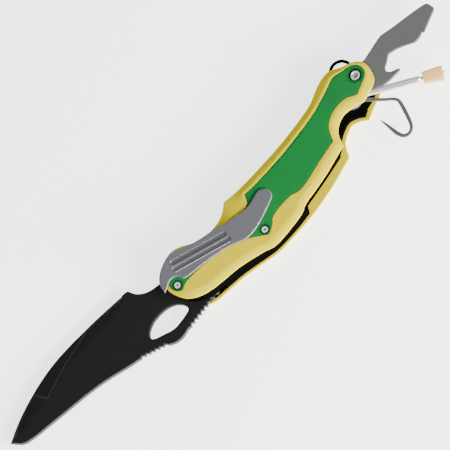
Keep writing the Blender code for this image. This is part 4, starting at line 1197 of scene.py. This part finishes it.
class KNIFE_OT_spike(bpy.types.Operator):
    """Make the marlinspike, a turned bar out of a flat round tang, and the cork guard on its tip"""
    bl_idname = "knife.spike"
    bl_label = "Marlinspike and cork"

    def execute(self, context):
        given = context.scene.knife_tools
        low, high = SPIKE
        origin = np.array([*TOOL_STUD, (low + high) / 2])
        r, tip = SPIKE_BAR_RADIUS, SPIKE_TIP_RADIUS
        profile = [(0, 2.7), (r, 2.7), (r, 6.0), (r, 14.0), (r, SPIKE_SHOULDER - 2.0),
                   (r * 0.98, SPIKE_SHOULDER - 0.6), (r * 0.9, SPIKE_SHOULDER),
                   (tip * 1.25, SPIKE_SHOULDER + 0.75), (tip, SPIKE_SHOULDER + SPIKE_CONE),
                   (tip, SPIKE_LENGTH - 0.9), (tip * 0.92, SPIKE_LENGTH - 0.5),
                   (tip * 0.6, SPIKE_LENGTH - 0.12), (0, SPIKE_LENGTH)]
        bar = turned("spike_bar", origin, profile, given.round_steps, spike_axes())
        tang = circle(TOOL_STUD, TOOL_TANG_RADIUS, 64)
        hole = circle(TOOL_STUD, STUD_RADIUS + GAP)
        head_radius, head_thick = STUD_HEAD
        sink = circle(TOOL_STUD, head_radius + GAP)

        def edge(xy):
            return sloped(distance(xy, tang), TANG_CHAMFER)

        def top(xy, level):
            return np.where(level == 1, high - head_thick - GAP, high - edge(xy))

        spike = solid("marlinspike_bar", tang, top, lambda xy: low + edge(xy), [hole], [sink],
                      [beside(tang, TANG_CHAMFER[0])], lambda xy: inside(xy, sink).astype(int))
        joined(spike, bar)
        place(spike, "spike", "tool_steel", spike_finish(given.spike_steel), "marlinspike")

        a = np.arange(64) * math.tau / 64
        side, rise = (np.sign(wave) * np.abs(wave) ** 0.5 for wave in (np.cos(a), np.sin(a)))
        bore = tip + GAP
        rows = []
        # each row's height along the cork, and the share it has of the full width there
        for height, share in ((0.0, 0.93), (0.12, 0.985), (0.35, 1.0), (2.5, 1.0), (5.2, 1.0),
                              (CORK_LENGTH - 0.35, 1.0), (CORK_LENGTH - 0.12, 0.985), (CORK_LENGTH, 0.93)):
            width = (CORK_NEAR_WIDTH + (CORK_FAR_WIDTH - CORK_NEAR_WIDTH) * height / CORK_LENGTH) / 2 * share
            rows.append((height, side * width, rise * CORK_THICK / 2 * share))
        for height in (CORK_LENGTH, 0.0):
            rows.append((height, np.cos(a) * bore, np.sin(a) * bore))
        across, up, along = spike_axes()
        grid = np.array([origin + (CORK_START + h) * along + x[:, None] * across + y[:, None] * up
                         for h, x, y in rows])
        place(skin("spike_cork_guard", grid, 40, wrap=True), "cork", "cork", cork_finish(given.cork),
              "spike_cork")
        return {"FINISHED"}


def inside_round(xy, centre, radius):
    """1 within a radius of the centre and 0 outside it."""
    return (np.linalg.norm(xy - np.array(centre), axis=1) < radius) * 1.0


class KNIFE_OT_fasteners(bpy.types.Operator):
    """Make the socket bolt and nut of the tool axle, the blade's nut and the four scale screws"""
    bl_idname = "knife.fasteners"
    bl_label = "Bolts, nuts and screws"

    def execute(self, context):
        steps = context.scene.knife_tools.round_steps
        bright = bright_finish()

        def headed(name, node, centre, head, shank, socket, deep, dome, foot, painted_light, down=False):
            """The socket's floor and six walls, the domed head down to its foot, and the shank."""
            low, top = span(node)
            profile = [(0, top - deep), (socket, top - deep, 6), (socket, top - dome * 0.5, 6),
                       (socket * 1.22, top - dome * 0.1), (head * 0.66, top - dome * 0.05),
                       (head * 0.86, top - dome * 0.3), (head, top - dome), (head, foot), (shank, foot),
                       (shank, low), (0, low)]
            if down:
                profile = [(p[0], low + top - p[1], *p[2:]) for p in profile]
            made = turned(name, (*centre, 0), profile, steps)
            # painted shade in the head's socket
            keep_field(made, "painted_light", painted_light)
            place(made, "handle", "bright_steel", bright, node)

        headed("tool_axle_socket_bolt", "tool_axle_bolt", TOOL_AXLE, AXLE_HEAD_RADIUS, AXLE_RADIUS,
               socket=1.0, deep=1.0, dome=0.35, foot=span("front_scale")[0],
               painted_light=lambda xy: inside_round(xy, TOOL_AXLE, 1.05) * 0.9)
        for node, centre, radius in (("tool_axle_nut", TOOL_AXLE, AXLE_NUT_RADIUS),
                                     ("blade_pivot_nut", BLADE_PIVOT, NUT_RADIUS)):
            low, high = span(node)
            profile = [(0, high), (radius, high), (radius, low + 0.25), (radius - 0.25, low),
                       (radius * 0.62, low), (radius * 0.52, low + 0.08, 6), (radius * 0.52, low + 0.7, 6),
                       (0, low + 0.7)]
            made = turned(node + "_turned", (*centre, 0), profile, steps)
            place(made, "handle", "bright_steel", bright, node)
        for node, centre in (("screw_lower", LOWER_SCREW), ("screw_mid", MID_SCREW)):
            for side in ("front_", "rear_"):
                headed(side + node + "_turned", side + node, centre, SCREW_HEAD_RADIUS, SCREW_RADIUS,
                       socket=0.5, deep=0.45, dome=0.3, foot=span(side + node)[1] - SCREW_HEAD_THICK,
                       painted_light=lambda xy, centre=centre: inside_round(xy, centre, 0.52), down=side == "rear_")
        return {"FINISHED"}


class KNIFE_OT_ring(bpy.types.Operator):
    """Make the black lanyard ring"""
    bl_idname = "knife.ring"
    bl_label = "Lanyard ring"

    def execute(self, context):
        given = context.scene.knife_tools
        wire = given.ring_wire / MM / 2
        low, high = span("lanyard_ring")
        centre = middle("lanyard_ring")
        big = RING_RADIUS - wire
        a = (np.arange(96) * math.tau / 96)[:, None]
        b = np.arange(20) * math.tau / 20
        reach = big + wire * np.cos(b)
        grid = np.stack([centre[0] + reach * np.cos(a), centre[1] + reach * np.sin(a),
                         (low + high) / 2 + wire * np.sin(b) * np.ones_like(a)], -1)
        made = skin("lanyard_ring_wire", grid, wrap=True)
        place(made, "ring", "black_blade", black_finish(), "lanyard_ring")
        return {"FINISHED"}


class KNIFE_OT_frame_finishes(bpy.types.Operator):
    """Give each frame node that still shows its finish"""
    bl_idname = "knife.frame_finishes"
    bl_label = "Finishes of the frame's own nodes"

    def execute(self, context):
        for material, nodes in (
                (bright_finish(), ("blade_pivot_bolt", "lock_bar_pin", "spring_pin", "tool_stud",
                                   "clip_rivet_1", "clip_rivet_2")),
                (bronze_finish(), ("blade_washer_front", "blade_washer_rear", "blade_well_sleeve",
                                   "tool_axle_sleeve")),
                (dark_finish(), ("lanyard_pin",))):
            for node in nodes:
                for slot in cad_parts[node].material_slots:
                    slot.material = material
        return {"FINISHED"}


class KNIFE_OT_stage(bpy.types.Operator):
    """Set up the floor, the soft light and the camera"""
    bl_idname = "knife.stage"
    bl_label = "Floor, light and camera"

    def execute(self, context):
        given = context.scene.knife_stage
        mesh = bpy.data.meshes.new("floor")
        corners = ((-1, -1), (1, -1), (1, 1), (-1, 1))
        mesh.from_pydata([(x * FLOOR_REACH, y * FLOOR_REACH, FLOOR_HEIGHT) for x, y in corners],
                         [], [(0, 1, 2, 3)])
        floor = bpy.data.objects.new("floor", mesh)
        context.scene.collection.objects.link(floor)
        pale = bpy.data.materials.new("pale_floor")
        pale.use_nodes = True
        white = (1.0, 1.0, 1.0, 1.0)
        feed(pale.node_tree, pale.node_tree.nodes["Principled BSDF"],
             {"Base Color": (*given.floor, 1.0), "Roughness": 0.9, "Specular IOR Level": 0.1,
              "Emission Color": white, "Emission Strength": given.floor_glow})
        mesh.materials.append(pale)

        world = bpy.data.worlds.new("surround")
        world.use_nodes = True
        feed(world.node_tree, world.node_tree.nodes["Background"], {"Color": white, "Strength": given.sky})
        context.scene.world = world
        for name, spot, size, power in (("key", *KEY_LIGHT, given.key_power),
                                        ("fill", *FILL_LIGHT, given.fill_power)):
            light = bpy.data.lights.new(name, "AREA")
            light.size = size
            light.energy = power
            lamp = bpy.data.objects.new(name, light)
            lamp.location = spot
            lamp.rotation_euler = (-Vector(spot)).to_track_quat("-Z", "Y").to_euler()
            context.scene.collection.objects.link(lamp)

        view = bpy.data.cameras.new("camera")
        view.lens = CAMERA_LENS
        view.sensor_width = 36.0
        camera = bpy.data.objects.new("camera", view)
        back = Vector(CAMERA_BACK).normalized()
        right = (Vector(CAMERA_RIGHT) - back * back.dot(Vector(CAMERA_RIGHT))).normalized()
        up = back.cross(right)
        spot = Vector(CAMERA_AIM) * MM + back * CAMERA_REACH
        camera.matrix_world = Matrix.Translation(spot) @ Matrix((right, up, back)).transposed().to_4x4()
        context.scene.collection.objects.link(camera)
        context.scene.camera = camera
        return {"FINISHED"}


STEPS = (KNIFE_OT_scales, KNIFE_OT_inlays, KNIFE_OT_inner_plates, KNIFE_OT_blade, KNIFE_OT_clip,
         KNIFE_OT_opener, KNIFE_OT_hook, KNIFE_OT_spike, KNIFE_OT_fasteners, KNIFE_OT_ring,
         KNIFE_OT_frame_finishes, KNIFE_OT_stage)
SETTINGS = {"knife_handle": HandleSettings, "knife_blade": BladeSettings, "knife_clip": ClipSettings,
            "knife_tools": ToolSettings, "knife_stage": StageSettings}


class KNIFE_PT_panel(bpy.types.Panel):
    """Sizes and colours, with a button for each piece"""
    bl_idname = "KNIFE_PT_panel"
    bl_label = "Rigging knife"
    bl_space_type = "VIEW_3D"
    bl_region_type = "UI"
    bl_category = "Knife"

    def draw(self, context):
        for name, kind in SETTINGS.items():
            box = self.layout.box()
            box.label(text=kind.__doc__)
            for label in kind.__annotations__:
                box.prop(getattr(context.scene, name), label)
        for step in STEPS:
            self.layout.operator(step.bl_idname)


def register():
    make_groups()
    for name, kind in SETTINGS.items():
        bpy.utils.register_class(kind)
        setattr(bpy.types.Scene, name, PointerProperty(type=kind))
    for kind in (*STEPS, KNIFE_PT_panel):
        bpy.utils.register_class(kind)


def unregister():
    for kind in reversed((*STEPS, KNIFE_PT_panel)):
        bpy.utils.unregister_class(kind)
    for name, kind in SETTINGS.items():
        delattr(bpy.types.Scene, name)
        bpy.utils.unregister_class(kind)


def main():
    """Register, and make every piece in order."""
    register()
    for step in STEPS:
        group, name = step.bl_idname.split(".")
        getattr(getattr(bpy.ops, group), name)()


if __name__ == "__main__":
    main()
